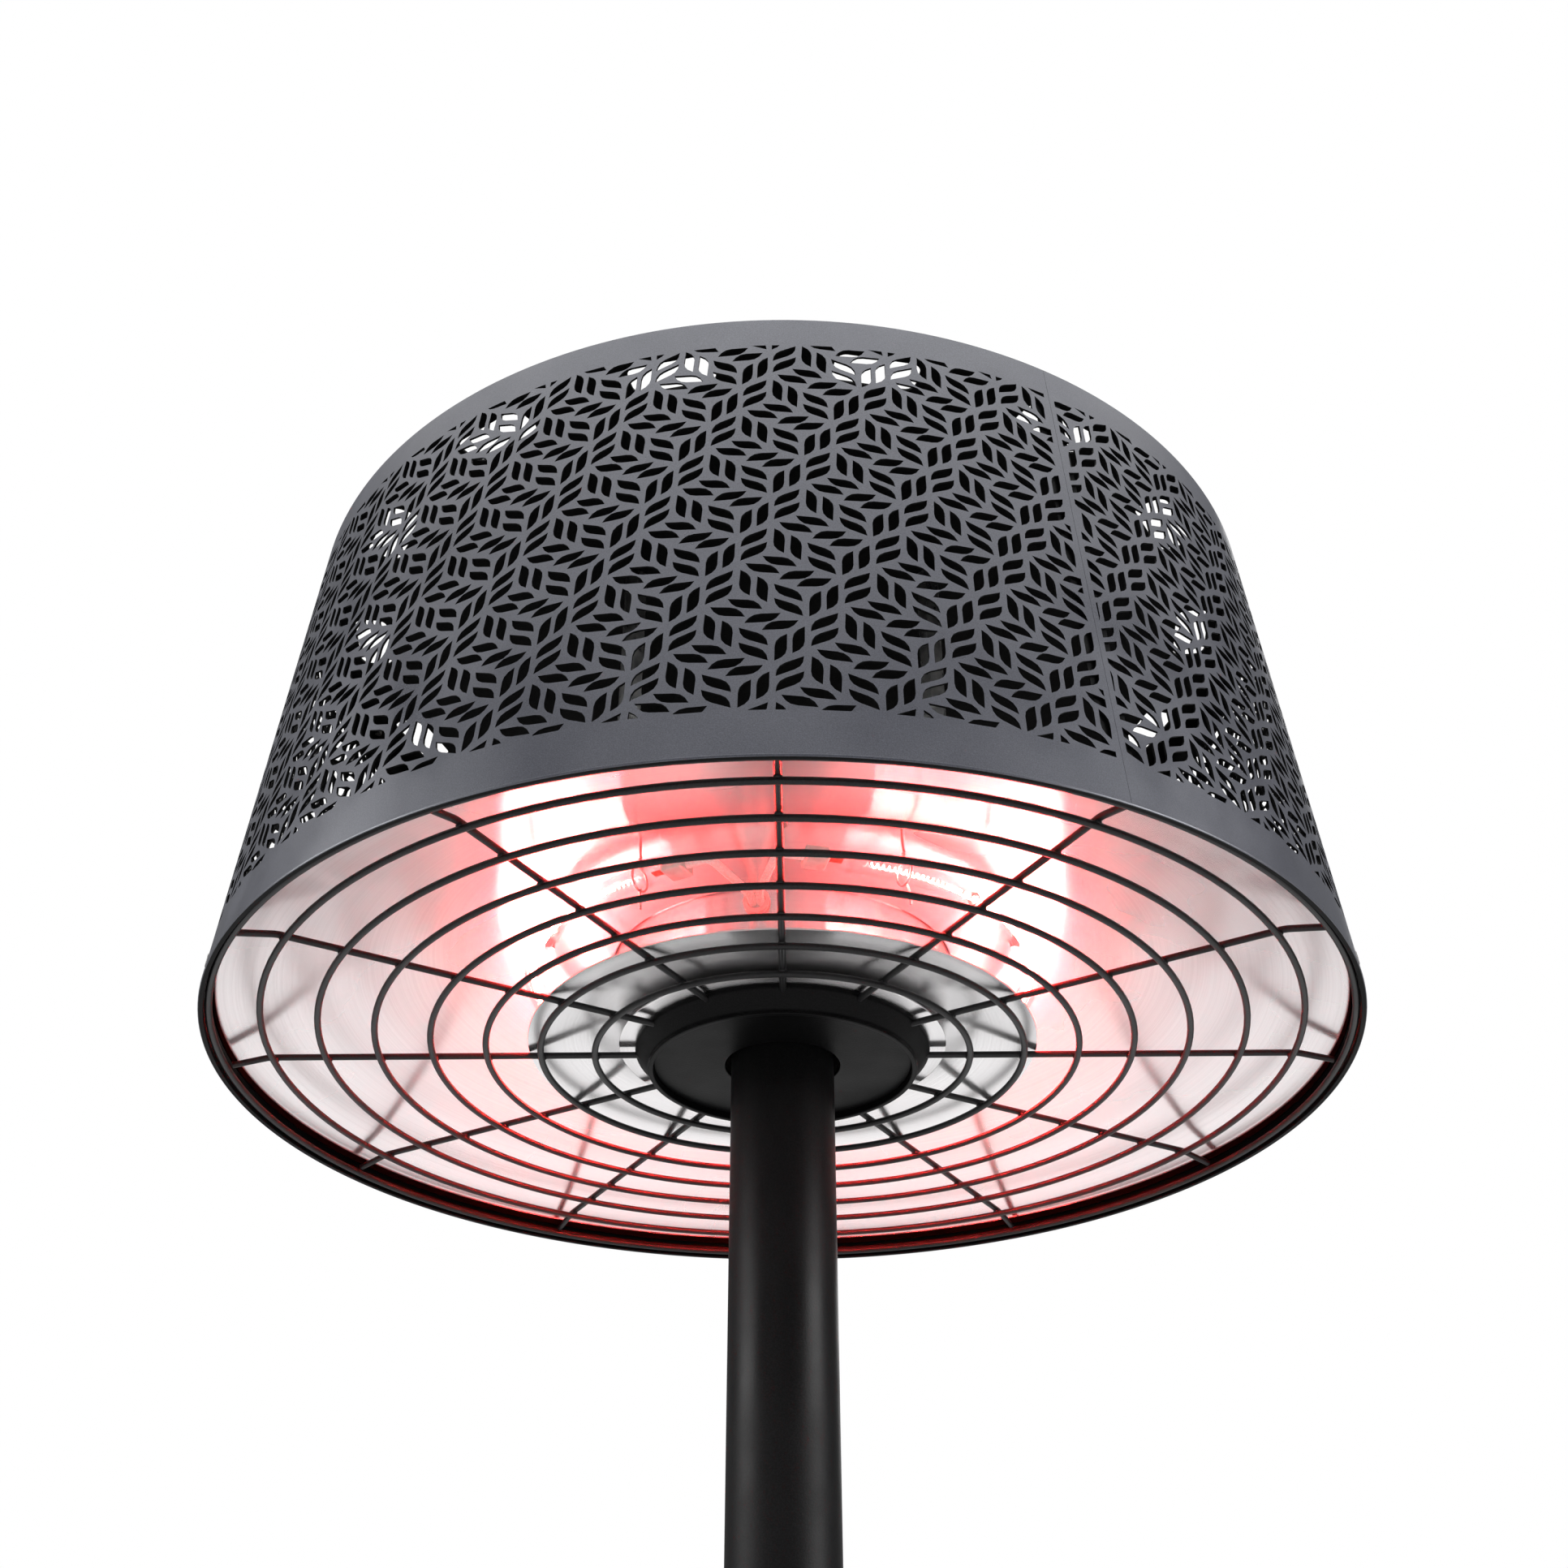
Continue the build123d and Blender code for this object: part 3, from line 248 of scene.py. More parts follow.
cast_finish = toned("raw_cast_iron", (0.030, 0.029, 0.028), (0.085, 0.075, 0.066), 60.0, 6.0, 0.72,
                    metal=0.6, bump=(420.0, 6.0, 0.5))
rubber_finish = toned("black_rubber", (0.012, 0.012, 0.012), (0.032, 0.031, 0.030), 90.0, 4.0, 0.83,
                      bump=(900.0, 2.0, 0.06))
steel_finish = toned("zinc_plated_steel", (0.36, 0.365, 0.37), (0.56, 0.555, 0.54), 120.0, 5.0,
                     (300.0, 3.0, 0.26, 0.44), metal=1.0, bump=(1500.0, 2.0, 0.02))


def show(name, mesh, finish=None, slot="black_coat", stands_for=(), body="heater", crease=32.0):
    """Puts a finished piece in the scene, smooth but for its edges, riding on its body."""
    if finish is not None:
        mesh.materials.clear()
        mesh.materials.append(finish)
    mesh.shade_smooth()
    mesh.set_sharp_from_angle(angle=math.radians(crease))
    piece = placed(name, mesh)
    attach(piece, body)
    if stands_for:
        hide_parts(*stands_for)


def dress(finish, *nodes):
    """Gives carried-over nodes their finish."""
    for node in nodes:
        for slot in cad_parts[node].material_slots:
            slot.material = finish


def eased(points, radius, steps, closed=True):
    """A line of (out, up) points with rounded corners, each between two points that hold it."""
    result = []
    count = len(points)
    for i, here in enumerate(points):
        if not closed and i in (0, count - 1):
            result.append(here)
            continue
        here = Vector(here)
        before = Vector(points[i - 1]) - here
        after = Vector(points[(i + 1) % count]) - here
        reach = min(radius, 0.3 * before.length, 0.3 * after.length)
        start = here + before.normalized() * reach
        end = here + after.normalized() * reach
        result.append(tuple(here + before.normalized() * reach * 1.5))
        for k in range(steps + 1):
            t = k / steps
            result.append(tuple((1 - t) ** 2 * start + 2 * t * (1 - t) * here + t ** 2 * end))
        result.append(tuple(here + after.normalized() * reach * 1.5))
    return result


def sheet_line(points, thickness):
    """Closed outline of a sheet whose one face follows the points; it grows to their left."""
    line = [Vector(p) for p in points]
    other = []
    for i, here in enumerate(line):
        first = (here - line[i - 1]).normalized() if i else None
        last = (line[i + 1] - here).normalized() if i + 1 < len(line) else None
        first, last = first or last, last or first
        normal = Vector((-(first.y + last.y), first.x + last.x)).normalized()
        other.append(here + normal * thickness / max(0.3, normal.dot(Vector((-first.y, first.x)))))
    return [tuple(p) for p in line] + [tuple(p) for p in reversed(other)]


def turned(name, outline, segments, lift=0.0):
    """Mesh of revolution from a closed (out, up) outline in mm, its faces pointing outwards."""
    area = sum(a[0] * b[1] - b[0] * a[1] for a, b in zip(outline, outline[1:] + outline[:1]))
    ring = outline if area > 0 else outline[::-1]
    count = len(ring)
    points = []
    for j in range(segments):
        a = 2 * math.pi * (j + 0.5) / segments
        points += [(r * math.cos(a) * MM, r * math.sin(a) * MM, (h + lift) * MM) for r, h in ring]
    faces = []
    for j in range(segments):
        k = (j + 1) % segments
        for i in range(count):
            n = (i + 1) % count
            faces.append((j * count + i, k * count + i, k * count + n, j * count + n))
    mesh = bpy.data.meshes.new(name)
    mesh.from_pydata(points, [], faces)
    return mesh


def show_turned(name, node, outline, segments, lift, finish, **looks):
    """Puts a turned piece in the scene in a node's place."""
    show(name, turned(name, outline, segments, lift), finish, stands_for=(node,), **looks)


base_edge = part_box("base_cover")
cover_radius = base_edge[1].x / MM
cover_top = base_edge[1].z / MM
cover_low = base_edge[0].z / MM
cover_sheet = 1.5
shoulder_top = cover_top - 14.7
cover_line = [(25.4, cover_top), (232.0, shoulder_top), (cover_radius, shoulder_top - 5.0),
              (cover_radius, cover_low)]
cover_line = eased(cover_line, 9.0, 7, closed=False)
show_turned("base_cover_skin", "base_cover", sheet_line(cover_line, -cover_sheet), 192, 0.0, black_coat)
dress(cast_finish, "base_weight")
dress(rubber_finish, "base_feet")
dress(steel_finish, "pole_socket", "socket_bolts", "pole_joiner")


# ---- pole -----------------------------------------------------------------------------------
# Two lengths of steel tube in satin black powder coat, joined by a sleeve inside, with a
# moulded collar at the foot, a push switch on the far side and small blackened screws.
pole_radius = 25.0
pole_wall = 2.0
for node in ("lower_pole", "upper_pole"):
    low, high = (corner.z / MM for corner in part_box(node))
    wall = [(pole_radius - pole_wall, low), (pole_radius, low),
            (pole_radius, high), (pole_radius - pole_wall, high)]
    show_turned(node + "_tube", node, eased(wall, 0.8, 3), 128, 0.0, black_coat)

plastic_finish = toned("black_moulded_plastic", (0.011, 0.011, 0.012), (0.021, 0.021, 0.022), 30.0, 5.0,
                       (45.0, 4.0, 0.44, 0.6), bump=(2600.0, 1.0, 0.05))
dress(plastic_finish, "cable_gland", "switch_housing", "terminal_block", "tilt_microswitch")

collar_low, collar_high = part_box("base_collar")
collar_line = [(pole_radius + 0.1, collar_low.z / MM), (collar_high.x / MM, collar_low.z / MM),
               (collar_high.x / MM - 2.0, collar_high.z / MM), (pole_radius + 0.1, collar_high.z / MM)]
show_turned("base_collar_ring", "base_collar", eased(collar_line, 1.5, 4), 128, 0.0, plastic_finish,
            slot="black_plastic")

button_finish = toned("soft_button_plastic", (0.07, 0.07, 0.073), (0.10, 0.10, 0.103), 80.0, 4.0, 0.5,
                      bump=(1800.0, 1.0, 0.05))
dress(button_finish, "power_button")

screw_finish = toned("blackened_screw_steel", (0.10, 0.10, 0.10), (0.26, 0.25, 0.24), 500.0, 4.0,
                     (260.0, 3.0, 0.28, 0.5), metal=1.0, bump=(2200.0, 2.0, 0.02))
dress(screw_finish, "pole_screws", "switch_screws", "top_screws", "hub_screws", "mast_screws")


# ---- structure in the head -------------------------------------------------------------------
# Zinc-plated socket, plate, posts and studs over the reflector, and the tip-over switch with
# its turned brass pendulum. They are hidden but for glimpses through the slots and vents.
brass_finish = toned("turned_brass", (0.44, 0.27, 0.08), (0.66, 0.46, 0.17), 90.0, 4.0,
                     (140.0, 3.0, 0.2, 0.38), metal=1.0, bump=(1600.0, 2.0, 0.02, (0.1, 0.1, 1.0)))
dress(brass_finish, "tilt_pendulum")
dress(steel_finish, "mast_socket", "chassis_plate", "chassis_posts", "pan_studs", "thermal_cutout",
      "tilt_bracket", "tilt_pin")


# ---- shade ----------------------------------------------------------------------------------
# A cone of 1 mm sheet, cut all over with small leaf-shaped slots in a woven six-pair pattern
# between two plain bands, rolled and butted at a seam. Anthracite coat outside, black inside.
shade_height = 251.0
shade_bottom = 275.0
shade_top = 252.0
shade_sheet = 1.0
shade_slant = math.hypot(shade_height, shade_bottom - shade_top)
strip_radius = (shade_bottom + shade_top) / 2
strip_length = 2 * math.pi * strip_radius
seam_at = math.radians(28.6) * strip_radius
seam_gap = 0.12
seam_band = 5.6
weave_columns = 31
weave_pitch = strip_length / weave_columns
weave_rise = 23.08
weave_shift = 13.16
weave_start = Vector((2.94, 39.78))
weave_low = 22.0
weave_high = 234.0
leaf_length = 13.9
leaf_width = 4.6
pair_gap = 7.7
smallest_slot = 3.0
# pairs of slots: column and row in quarters and thirds of the cell, way apart, lean, side
weave_pairs = (
    (0.0, 0.0, 90, 44, 1), (1.0, 0.0, -30, 105, 1), (1.5, 1.5, 30, -24, -1),
    (0.0, 2.0, 30, 71, -1), (2.0, -1.0, 90, -41, -1), (2.5, 0.5, -30, 20, 1),
)


def leaf(centre, lean, side):
    """Outline of a slot: two straight sides, pointed at two corners, rounded at the others."""
    half = [Vector((0.0, 0.0)), Vector((0.55 * leaf_length, 0.0))]
    for t in (1 / 3, 2 / 3):
        along = 0.55 * (1 - t) ** 2 + 2 * 0.84 * t * (1 - t) + t ** 2
        half.append(Vector((along * leaf_length, t * t * leaf_width)))
    far = Vector((leaf_length, leaf_width))
    outline = half + [far - p for p in half]
    turn = Matrix.Rotation(math.radians(lean) - side * math.atan2(leaf_width, leaf_length), 2)
    return [centre + turn @ Vector((p.x, side * p.y)) for p in (q - far / 2 for q in outline)]


def flat_shapes(name, outlines):
    """Flat mesh with one face for each outline, in mm."""
    points = [(p.x, p.y, 0.0) for outline in outlines for p in outline]
    faces = []
    start = 0
    for outline in outlines:
        faces.append(tuple(range(start, start + len(outline))))
        start += len(outline)
    mesh = bpy.data.meshes.new(name)
    mesh.from_pydata(points, [], faces)
    return mesh


def grower(name, measures, counts=()):
    """A geometry tree with a start shape, named measures, counts and a finish; and its sockets."""
    tree = bpy.data.node_groups.new(name, "GeometryNodeTree")
    tree.interface.new_socket("Result", in_out="OUTPUT", socket_type="NodeSocketGeometry")
    for kind, titles in (("Geometry", ("Start",)), ("Int", counts), ("Float", measures),
                         ("Material", ("Finish",))):
        for title in titles:
            tree.interface.new_socket(title, in_out="INPUT", socket_type="NodeSocket" + kind)
    return tree, tree.nodes.new("NodeGroupInput").outputs


def sum_of(operation, first, second=0.0):
    """Result of one sum between two values of a tree, at least one of them a socket."""
    tree = (first if isinstance(first, bpy.types.NodeSocket) else second).id_data
    return put(tree, "ShaderNodeMath", {0: first, 1: second}, operation=operation).outputs[0]


def plus(first, second):
    """First value and second value."""
    return sum_of("ADD", first, second)


def less(first, second):
    """First value without the second."""
    return sum_of("SUBTRACT", first, second)


def times(first, second):
    """First value so many times."""
    return sum_of("MULTIPLY", first, second)


def over(first, second):
    """First value in so many parts."""
    return sum_of("DIVIDE", first, second)


def point_of(tree, x=0.0, y=0.0, z=0.0):
    """Point of three values."""
    return put(tree, "ShaderNodeCombineXYZ", {0: x, 1: y, 2: z}).outputs[0]


def places(tree):
    """The three values of each point's place."""
    return put(tree, "ShaderNodeSeparateXYZ", {0: put(tree, "GeometryNodeInputPosition")}).outputs


def close_tree(tree, given, shape):
    """Ends a tree with real geometry in its finish."""
    real = put(tree, "GeometryNodeRealizeInstances", {"Geometry": shape})
    coated = put(tree, "GeometryNodeSetMaterial", {"Geometry": real, "Material": given["Finish"]})
    put(tree, "NodeGroupOutput", {0: coated})


def grown(name, tree, start, settings):
    """Plain mesh that a tree makes from a start mesh with its named inputs set."""
    holder = placed(name, start)
    grow = holder.modifiers.new(name, "NODES")
    grow.node_group = tree
    for item in tree.interface.items_tree:
        if item.name in settings:
            grow[item.identifier] = settings[item.name]
    return settled(holder)


def settled(holder):
    """Plain mesh of an object with its modifiers applied; the object goes."""
    graph = bpy.context.evaluated_depsgraph_get()
    mesh = bpy.data.meshes.new_from_object(holder.evaluated_get(graph), depsgraph=graph)
    mesh.name = holder.name
    bpy.data.objects.remove(holder)
    return mesh


def thickened(mesh, thickness, inner):
    """A sheet given its thickness on the side away from its normals, its inner face its own finish."""
    mesh.materials.append(inner)
    holder = placed(mesh.name, mesh)
    solid = holder.modifiers.new("thickness", "SOLIDIFY")
    solid.thickness = thickness * MM
    solid.offset = -1.0
    solid.material_offset = solid.material_offset_rim = 1
    return settled(holder)


def joined(name, *meshes):
    """One mesh of several that share their finishes."""
    whole = bmesh.new()
    for mesh in meshes:
        whole.from_mesh(mesh)
    result = meshes[0].copy()
    result.name = name
    whole.to_mesh(result)
    whole.free()
    return result


anthracite = powder_coat("anthracite_coat", (0.035, 0.037, 0.049), (0.064, 0.067, 0.087), 0.33,
                         grain=2200.0, peel=0.03, metal=0.25, sheen=0.7)
inner_black = powder_coat("shade_inner_black", (0.0020, 0.0020, 0.0022), (0.0055, 0.0055, 0.0058), 0.5,
                          sheen=0.05)

lattice_tree, given = grower("leaf_lattice", ("Pitch", "Rise", "Shift", "Middle X", "Middle Y"),
                             ("Columns", "Rows"))
across = times(less(given["Columns"], 1), given["Pitch"])
upward = times(less(given["Rows"], 1), given["Rise"])
grid = put(lattice_tree, "GeometryNodeMeshGrid", {
    "Size X": across, "Size Y": upward, "Vertices X": given["Columns"], "Vertices Y": given["Rows"]})
slid = over(times(places(lattice_tree)[1], given["Shift"]), given["Rise"])
shear = point_of(lattice_tree, plus(slid, given["Middle X"]), given["Middle Y"])
lattice = put(lattice_tree, "GeometryNodeSetPosition", {"Geometry": grid, "Offset": shear})
leaves = put(lattice_tree, "GeometryNodeInstanceOnPoints", {
    "Points": lattice, "Instance": given["Start"]})
close_tree(lattice_tree, given, leaves)

pair_leaves = []
for column, row, way, lean, side in weave_pairs:
    middle = Vector((column * weave_pitch / 4, row * weave_rise / 3))
    apart = Vector((math.cos(math.radians(way)), math.sin(math.radians(way)))) * pair_gap / 2
    pair_leaves += [leaf(middle + apart, lean, side), leaf(middle - apart, lean, side)]
weave_rows = 14
weave_margin = 4
rows_to_middle = 3.5
middle_x = weave_start.x + rows_to_middle * weave_shift + math.floor(weave_columns / 2) * weave_pitch
middle_y = weave_start.y + rows_to_middle * weave_rise
field = grown("shade_slots", lattice_tree, flat_shapes("slot_cell", pair_leaves), {
    "Columns": weave_columns + 2 * weave_margin, "Rows": weave_rows, "Pitch": weave_pitch,
    "Rise": weave_rise, "Shift": weave_shift, "Middle X": middle_x, "Middle Y": middle_y,
    "Finish": anthracite})

slots = bmesh.new()
slots.from_mesh(field)
strip_start = seam_at + seam_gap / 2
strip_end = seam_at + strip_length - seam_gap / 2
for edge_point, outward in (
    ((seam_at + seam_band / 2, 0, 0), (-1, 0, 0)),
    ((seam_at + strip_length - seam_band / 2, 0, 0), (1, 0, 0)),
    ((0, weave_low, 0), (0, -1, 0)), ((0, weave_high, 0), (0, 1, 0)),
):
    everything = slots.verts[:] + slots.edges[:] + slots.faces[:]
    bmesh.ops.bisect_plane(slots, geom=everything, dist=0.05, plane_co=edge_point, plane_no=outward,
                           clear_outer=True)
scraps = [face for face in slots.faces if face.calc_area() < smallest_slot]
bmesh.ops.delete(slots, geom=scraps, context="FACES")
loose = [vert for vert in slots.verts if not vert.link_faces]
bmesh.ops.delete(slots, geom=loose, context="VERTS")
slots.faces.index_update()
edge_step = 9.0
rim_low = 0.8
rim_high = shade_slant - 0.4
steps_round = round((strip_end - strip_start) / edge_step)
steps_up = round((rim_high - rim_low) / edge_step)
outline = [(strip_start + (strip_end - strip_start) * i / steps_round, rim_low) for i in range(steps_round)]
outline += [(strip_end, rim_low + (rim_high - rim_low) * i / steps_up) for i in range(steps_up)]
outline += [(strip_end - (strip_end - strip_start) * i / steps_round, rim_high) for i in range(steps_round)]
outline += [(strip_start, rim_high - (rim_high - rim_low) * i / steps_up) for i in range(steps_up)]
slots.verts.index_update()
points = [vert.co.xy for vert in slots.verts]
slot_of = {vert.index: face.index for face in slots.faces for vert in face.verts}
lines = [tuple(vert.index for vert in edge.verts) for edge in slots.edges]
lines += [(len(points) + i, len(points) + (i + 1) % len(outline)) for i in range(len(outline))]
slots.free()
cut = delaunay_2d_cdt(points + [Vector(p) for p in outline], lines, [], 0, 0.001)
owner = [slot_of.get(origins[0], -1 - i) for i, origins in enumerate(cut[3])]
flat_sheet = bpy.data.meshes.new("shade_flat_sheet")
flat_sheet.from_pydata([(p.x, p.y, 0.0) for p in cut[0]], [],
                       [face for face in cut[2] if len({owner[i] for i in face}) > 1])

roll_tree, given = grower("rolled_sheet", ("Strip Radius", "Bottom Radius", "Top Radius", "Height", "Slant",
                                           "Rim Height", "Unit"))
spot = places(roll_tree)
angle = over(spot[0], given["Strip Radius"])
share = over(spot[1], given["Slant"])
taper = times(share, less(given["Top Radius"], given["Bottom Radius"]))
reach = times(plus(given["Bottom Radius"], taper), given["Unit"])
lifted = plus(times(share, given["Height"]), given["Rim Height"])
rolled = point_of(roll_tree, times(reach, sum_of("SINE", angle)),
                  times(reach, times(sum_of("COSINE", angle), -1.0)), times(lifted, given["Unit"]))
sheet = put(roll_tree, "GeometryNodeSetPosition", {"Geometry": given["Start"], "Position": rolled})
close_tree(roll_tree, given, sheet)
shell = grown("shade_shell", roll_tree, flat_sheet, {
    "Strip Radius": strip_radius, "Bottom Radius": shade_bottom, "Top Radius": shade_top,
    "Height": shade_height, "Slant": shade_slant, "Rim Height": RIM, "Unit": MM, "Finish": anthracite})
shell = thickened(shell, shade_sheet, inner_black)
hem_width = 2.4
hem_height = 1.2
hem_inner = shade_bottom - hem_width
hem_line = [(hem_inner, 0), (shade_bottom, 0), (shade_bottom, hem_height), (hem_inner, hem_height)]
hem = turned("shade_hem", eased(hem_line, 0.5, 3), 256, RIM)
for finish in (anthracite, inner_black):
    hem.materials.append(finish)
for face in hem.polygons:
    out = math.hypot(face.center.x, face.center.y) / MM
    face.material_index = 0 if out > shade_bottom - 0.3 else 1
flange_reach = shade_top - 10
flange_low = shade_height - 1
flange_line = [(flange_reach, flange_low), (shade_top, flange_low), (shade_top, shade_height),
               (flange_reach, shade_height)]
flange_lip = turned("shade_flange", eased(flange_line, 0.4, 2), 256, RIM)
shade_mesh = joined("shade_mesh", shell, hem, flange_lip)
show("perforated_shade", shade_mesh, slot="anthracite_coat", stands_for=("shade",))
screw_outline = eased([(0.02, -3.4), (1.9, -3.4), (1.9, -0.3), (3.4, -0.3), (3.4, 0.15), (2.9, 0.45),
                       (1.3, 0.5), (1.2, -0.5), (0.02, -0.5)], 0.15, 2)
screw_up = 13.0
screw_lean = math.atan2(shade_bottom - shade_top, shade_height)
rim_heads = []
for screw_angle in (-70.0, 70.0, 180.0):
    head = turned("rim_screw", screw_outline, 32)
    seat = at(screw_angle, shade_bottom - screw_up * math.tan(screw_lean), screw_up)
    outward = Vector((seat.x, seat.y, 0.0)).normalized() * math.cos(screw_lean)
    outward.z = math.sin(screw_lean)
    head.transform(Matrix.Translation(seat) @ outward.to_track_quat("Z", "Y").to_matrix().to_4x4())
    rim_heads.append(head)
show("rim_screw_heads", joined("rim_screw_heads", *rim_heads), screw_finish, slot="screw_steel",
     stands_for=("rim_screws",))
dress(anthracite, "rim_brackets")
dress(inner_black, "seam_strip")


# ---- lid ------------------------------------------------------------------------------------
# A flat sheet disc under the shade's top flange, punched with a ring of rounded vents that
# let the hot air out. Coated like the shade outside and black inside.
lid_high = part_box("top_plate")[1]
lid_sheet_thickness = 1.2
lid_tree, given = grower("vented_lid", ("Radius", "Vent Circle", "Vent Across", "Vent Along", "Vent Corner",
                                        "First Turn", "Height"), ("Vents",))
disc = put(lid_tree, "GeometryNodeCurvePrimitiveCircle", {"Resolution": 192, "Radius": given["Radius"]})
blank = put(lid_tree, "GeometryNodeCurvePrimitiveQuadrilateral", {
    "Width": given["Vent Across"], "Height": given["Vent Along"]})
rounded = put(lid_tree, "GeometryNodeFilletCurve", {
    "Curve": blank, "Count": 6, "Radius": given["Vent Corner"]}, mode="POLY")
ring = put(lid_tree, "GeometryNodeMeshCircle", {"Vertices": given["Vents"], "Radius": given["Vent Circle"]})
order = put(lid_tree, "GeometryNodeInputIndex").outputs[0]
share = over(order, given["Vents"])
facing = point_of(lid_tree, z=times(share, 2 * math.pi))
vents = put(lid_tree, "GeometryNodeInstanceOnPoints", {
    "Points": ring, "Instance": rounded, "Rotation": facing})
turned_vents = put(lid_tree, "GeometryNodeTransform", {
    "Geometry": vents, "Rotation": point_of(lid_tree, z=given["First Turn"])})
real_vents = put(lid_tree, "GeometryNodeRealizeInstances", {"Geometry": turned_vents})
lid_lines = put(lid_tree, "GeometryNodeJoinGeometry", {"Geometry": disc})
fill(lid_lines, {"Geometry": real_vents})
lid_sheet = put(lid_tree, "GeometryNodeFillCurve", {"Curve": lid_lines})
lid_up = put(lid_tree, "GeometryNodeTransform", {
    "Geometry": lid_sheet, "Translation": point_of(lid_tree, z=given["Height"])})
close_tree(lid_tree, given, lid_up)
lid_mesh = grown("lid_sheet", lid_tree, flat_shapes("lid_start", []), {
    "Radius": lid_high.x, "Vents": 15, "Vent Circle": 226.0 * MM, "Vent Across": 17.0 * MM,
    "Vent Along": 40.0 * MM, "Vent Corner": 5.0 * MM, "First Turn": math.radians(-90.0 - 12.9),
    "Height": lid_high.z, "Finish": anthracite})
lid_mesh = thickened(lid_mesh, lid_sheet_thickness, inner_black)
show("vented_lid", lid_mesh, slot="anthracite_coat", stands_for=("top_plate",))


# ---- reflectors -----------------------------------------------------------------------------
# Spun bright aluminium, left with the fine rings of the spinning tool, which draw every bright
# reflection out towards and away from the pole: wide pan, drum, dish and collar disc.
pan_sheet = 0.8
scattered = 0.09
lip_shade_full_below = 11.0
lip_shade_ends_above = 12.6
aluminium = {}
for kind, dull in (("spun_pan", 0.27), ("spun_dish", 0.25)):
    finish, tree, face, where = new_finish(kind)
    spot = put(tree, "ShaderNodeSeparateXYZ", {0: where})
    out = put(tree, "ShaderNodeVectorMath", {0: point_of(tree, spot.outputs[0], spot.outputs[1])},
              operation="LENGTH").outputs["Value"]
    rings = cloud(tree, point_of(tree, out, spot.outputs[2]), 1300.0, 2.0)
    patches = cloud(tree, where, 7.0, 3.0)
    tone = blended(tree, level(tree, rings, 0.0, 1.0), (0.80, 0.785, 0.79), (0.88, 0.87, 0.875))
    tone = blended(tree, level(tree, patches, 0.0, 0.35), tone, (0.83, 0.795, 0.80))
    fill(face, {
        "Base Color": tone, "Roughness": level(tree, patches, dull - 0.01, dull + 0.02), "Metallic": 1.0,
        "Anisotropic": 0.95, "Anisotropic Rotation": 0.25,
        "Tangent": put(tree, "ShaderNodeTangent", direction_type="RADIAL", axis="Z")})
    relief(tree, face, rings, 0.0004)
    haze = put(tree, "ShaderNodeBsdfAnisotropic", {"Color": tone, "Roughness": 0.62})
    whole = put(tree, "ShaderNodeMixShader", {0: scattered, 1: face, 2: haze})
    # On the pan alone, the turned-down lip is painted shade: a dull, near-black shader covers it low down
    # and fades into the bright metal just above the lip.
    if kind == "spun_pan":
        lip_painted_shade = put(tree, "ShaderNodeBsdfDiffuse", {"Color": (0.0012, 0.0012, 0.0012, 1.0), "Roughness": 0.6})
        down = put(tree, "ShaderNodeMapRange", {
            "Value": spot.outputs[2], "From Min": (RIM + lip_shade_full_below) * MM,
            "From Max": (RIM + lip_shade_ends_above) * MM, "To Min": 1.0, "To Max": 0.0})
        whole = put(tree, "ShaderNodeMixShader", {0: down, 1: whole, 2: lip_painted_shade})
    fill(tree.nodes["Material Output"], {"Surface": whole})
    aluminium[kind] = finish


def spun(name, line, radius, segments, finish, node):
    """Shows a spun reflector: a sheet along a line of (out, up) points, rounded at its bends."""
    sheet = sheet_line(eased(line, radius, 4 if radius < 5.0 else 5, closed=False), pan_sheet)
    show_turned(name, node, sheet, segments, RIM, finish, slot="brushed_aluminium", crease=50)


spun("spun_reflector_pan", [(270.0, 7.6), (270.0, 12.6), (118.0, 73.4), (84.85, 56.0)], 5.0, 256,
     aluminium["spun_pan"], "reflector_pan")
spun("spun_drum", [(54.0, 20.3), (84.0, 20.3), (84.0, 100.0)], 2.0, 192,
     aluminium["spun_dish"], "inner_drum")
spun("spun_dish", [(54.0, 19.5), (84.0, 19.5), (124.0, 11.5)], 6.0, 192,
     aluminium["spun_dish"], "inner_reflector")

disc_line = [(67.05, 12.6), (80.0, 12.6), (80.0, 13.4), (67.05, 13.4)]
show_turned("bright_collar_disc", "collar_disc", eased(disc_line, 0.3, 2), 160, RIM,
            aluminium["spun_dish"], slot="brushed_aluminium", crease=50)


# ---- hub ------------------------------------------------------------------------------------
# A pressed steel cup in black powder coat round the pole: rolled lower rim, swelling side
# with the guard's spokes entering it, a shoulder and a neck, closed below by a flat plate.
# The hub's coat is a darker, less shiny copy of the black powder coat: painted shade on the hub.
hub_shaded_coat = powder_coat("hub_powder_coat_shaded", (0.0018, 0.0018, 0.0019), (0.0046, 0.0046, 0.0049), 0.40,
                       sheen=0.06)
hub_outline = [
    (65.4, 0.0), (65.4, 2.2), (72.0, 10.0), (72.0, 12.6), (67.0, 12.6), (67.0, 19.5), (54.0, 19.5),
    (54.0, 17.1), (64.5, 17.1), (62.9, 5.5), (62.9, 0.0)]
show_turned("hub_cup_shell", "hub_cup", eased(hub_outline, 1.2, 4), 160, RIM, hub_shaded_coat)
plate_outline = [(28.0, 3.5), (62.85, 3.5), (62.85, 5.5), (28.0, 5.5)]
show_turned("hub_cover_plate", "hub_plate", eased(plate_outline, 0.5, 3), 160, RIM, hub_shaded_coat)


# ---- lamp -----------------------------------------------------------------------------------
# A ring of clear quartz tube with a glowing wound filament on its axis, flat pinched seals,
# ceramic caps, wire clips hung from the reflector and glass-fibre leads to the drum.
lamp_circle = 123.5
lamp_height = 48.0
lamp_tube = 5.0
lamp_first = 14.0
lamp_last = 360.0 - 29.5
seal_reach = 15.0

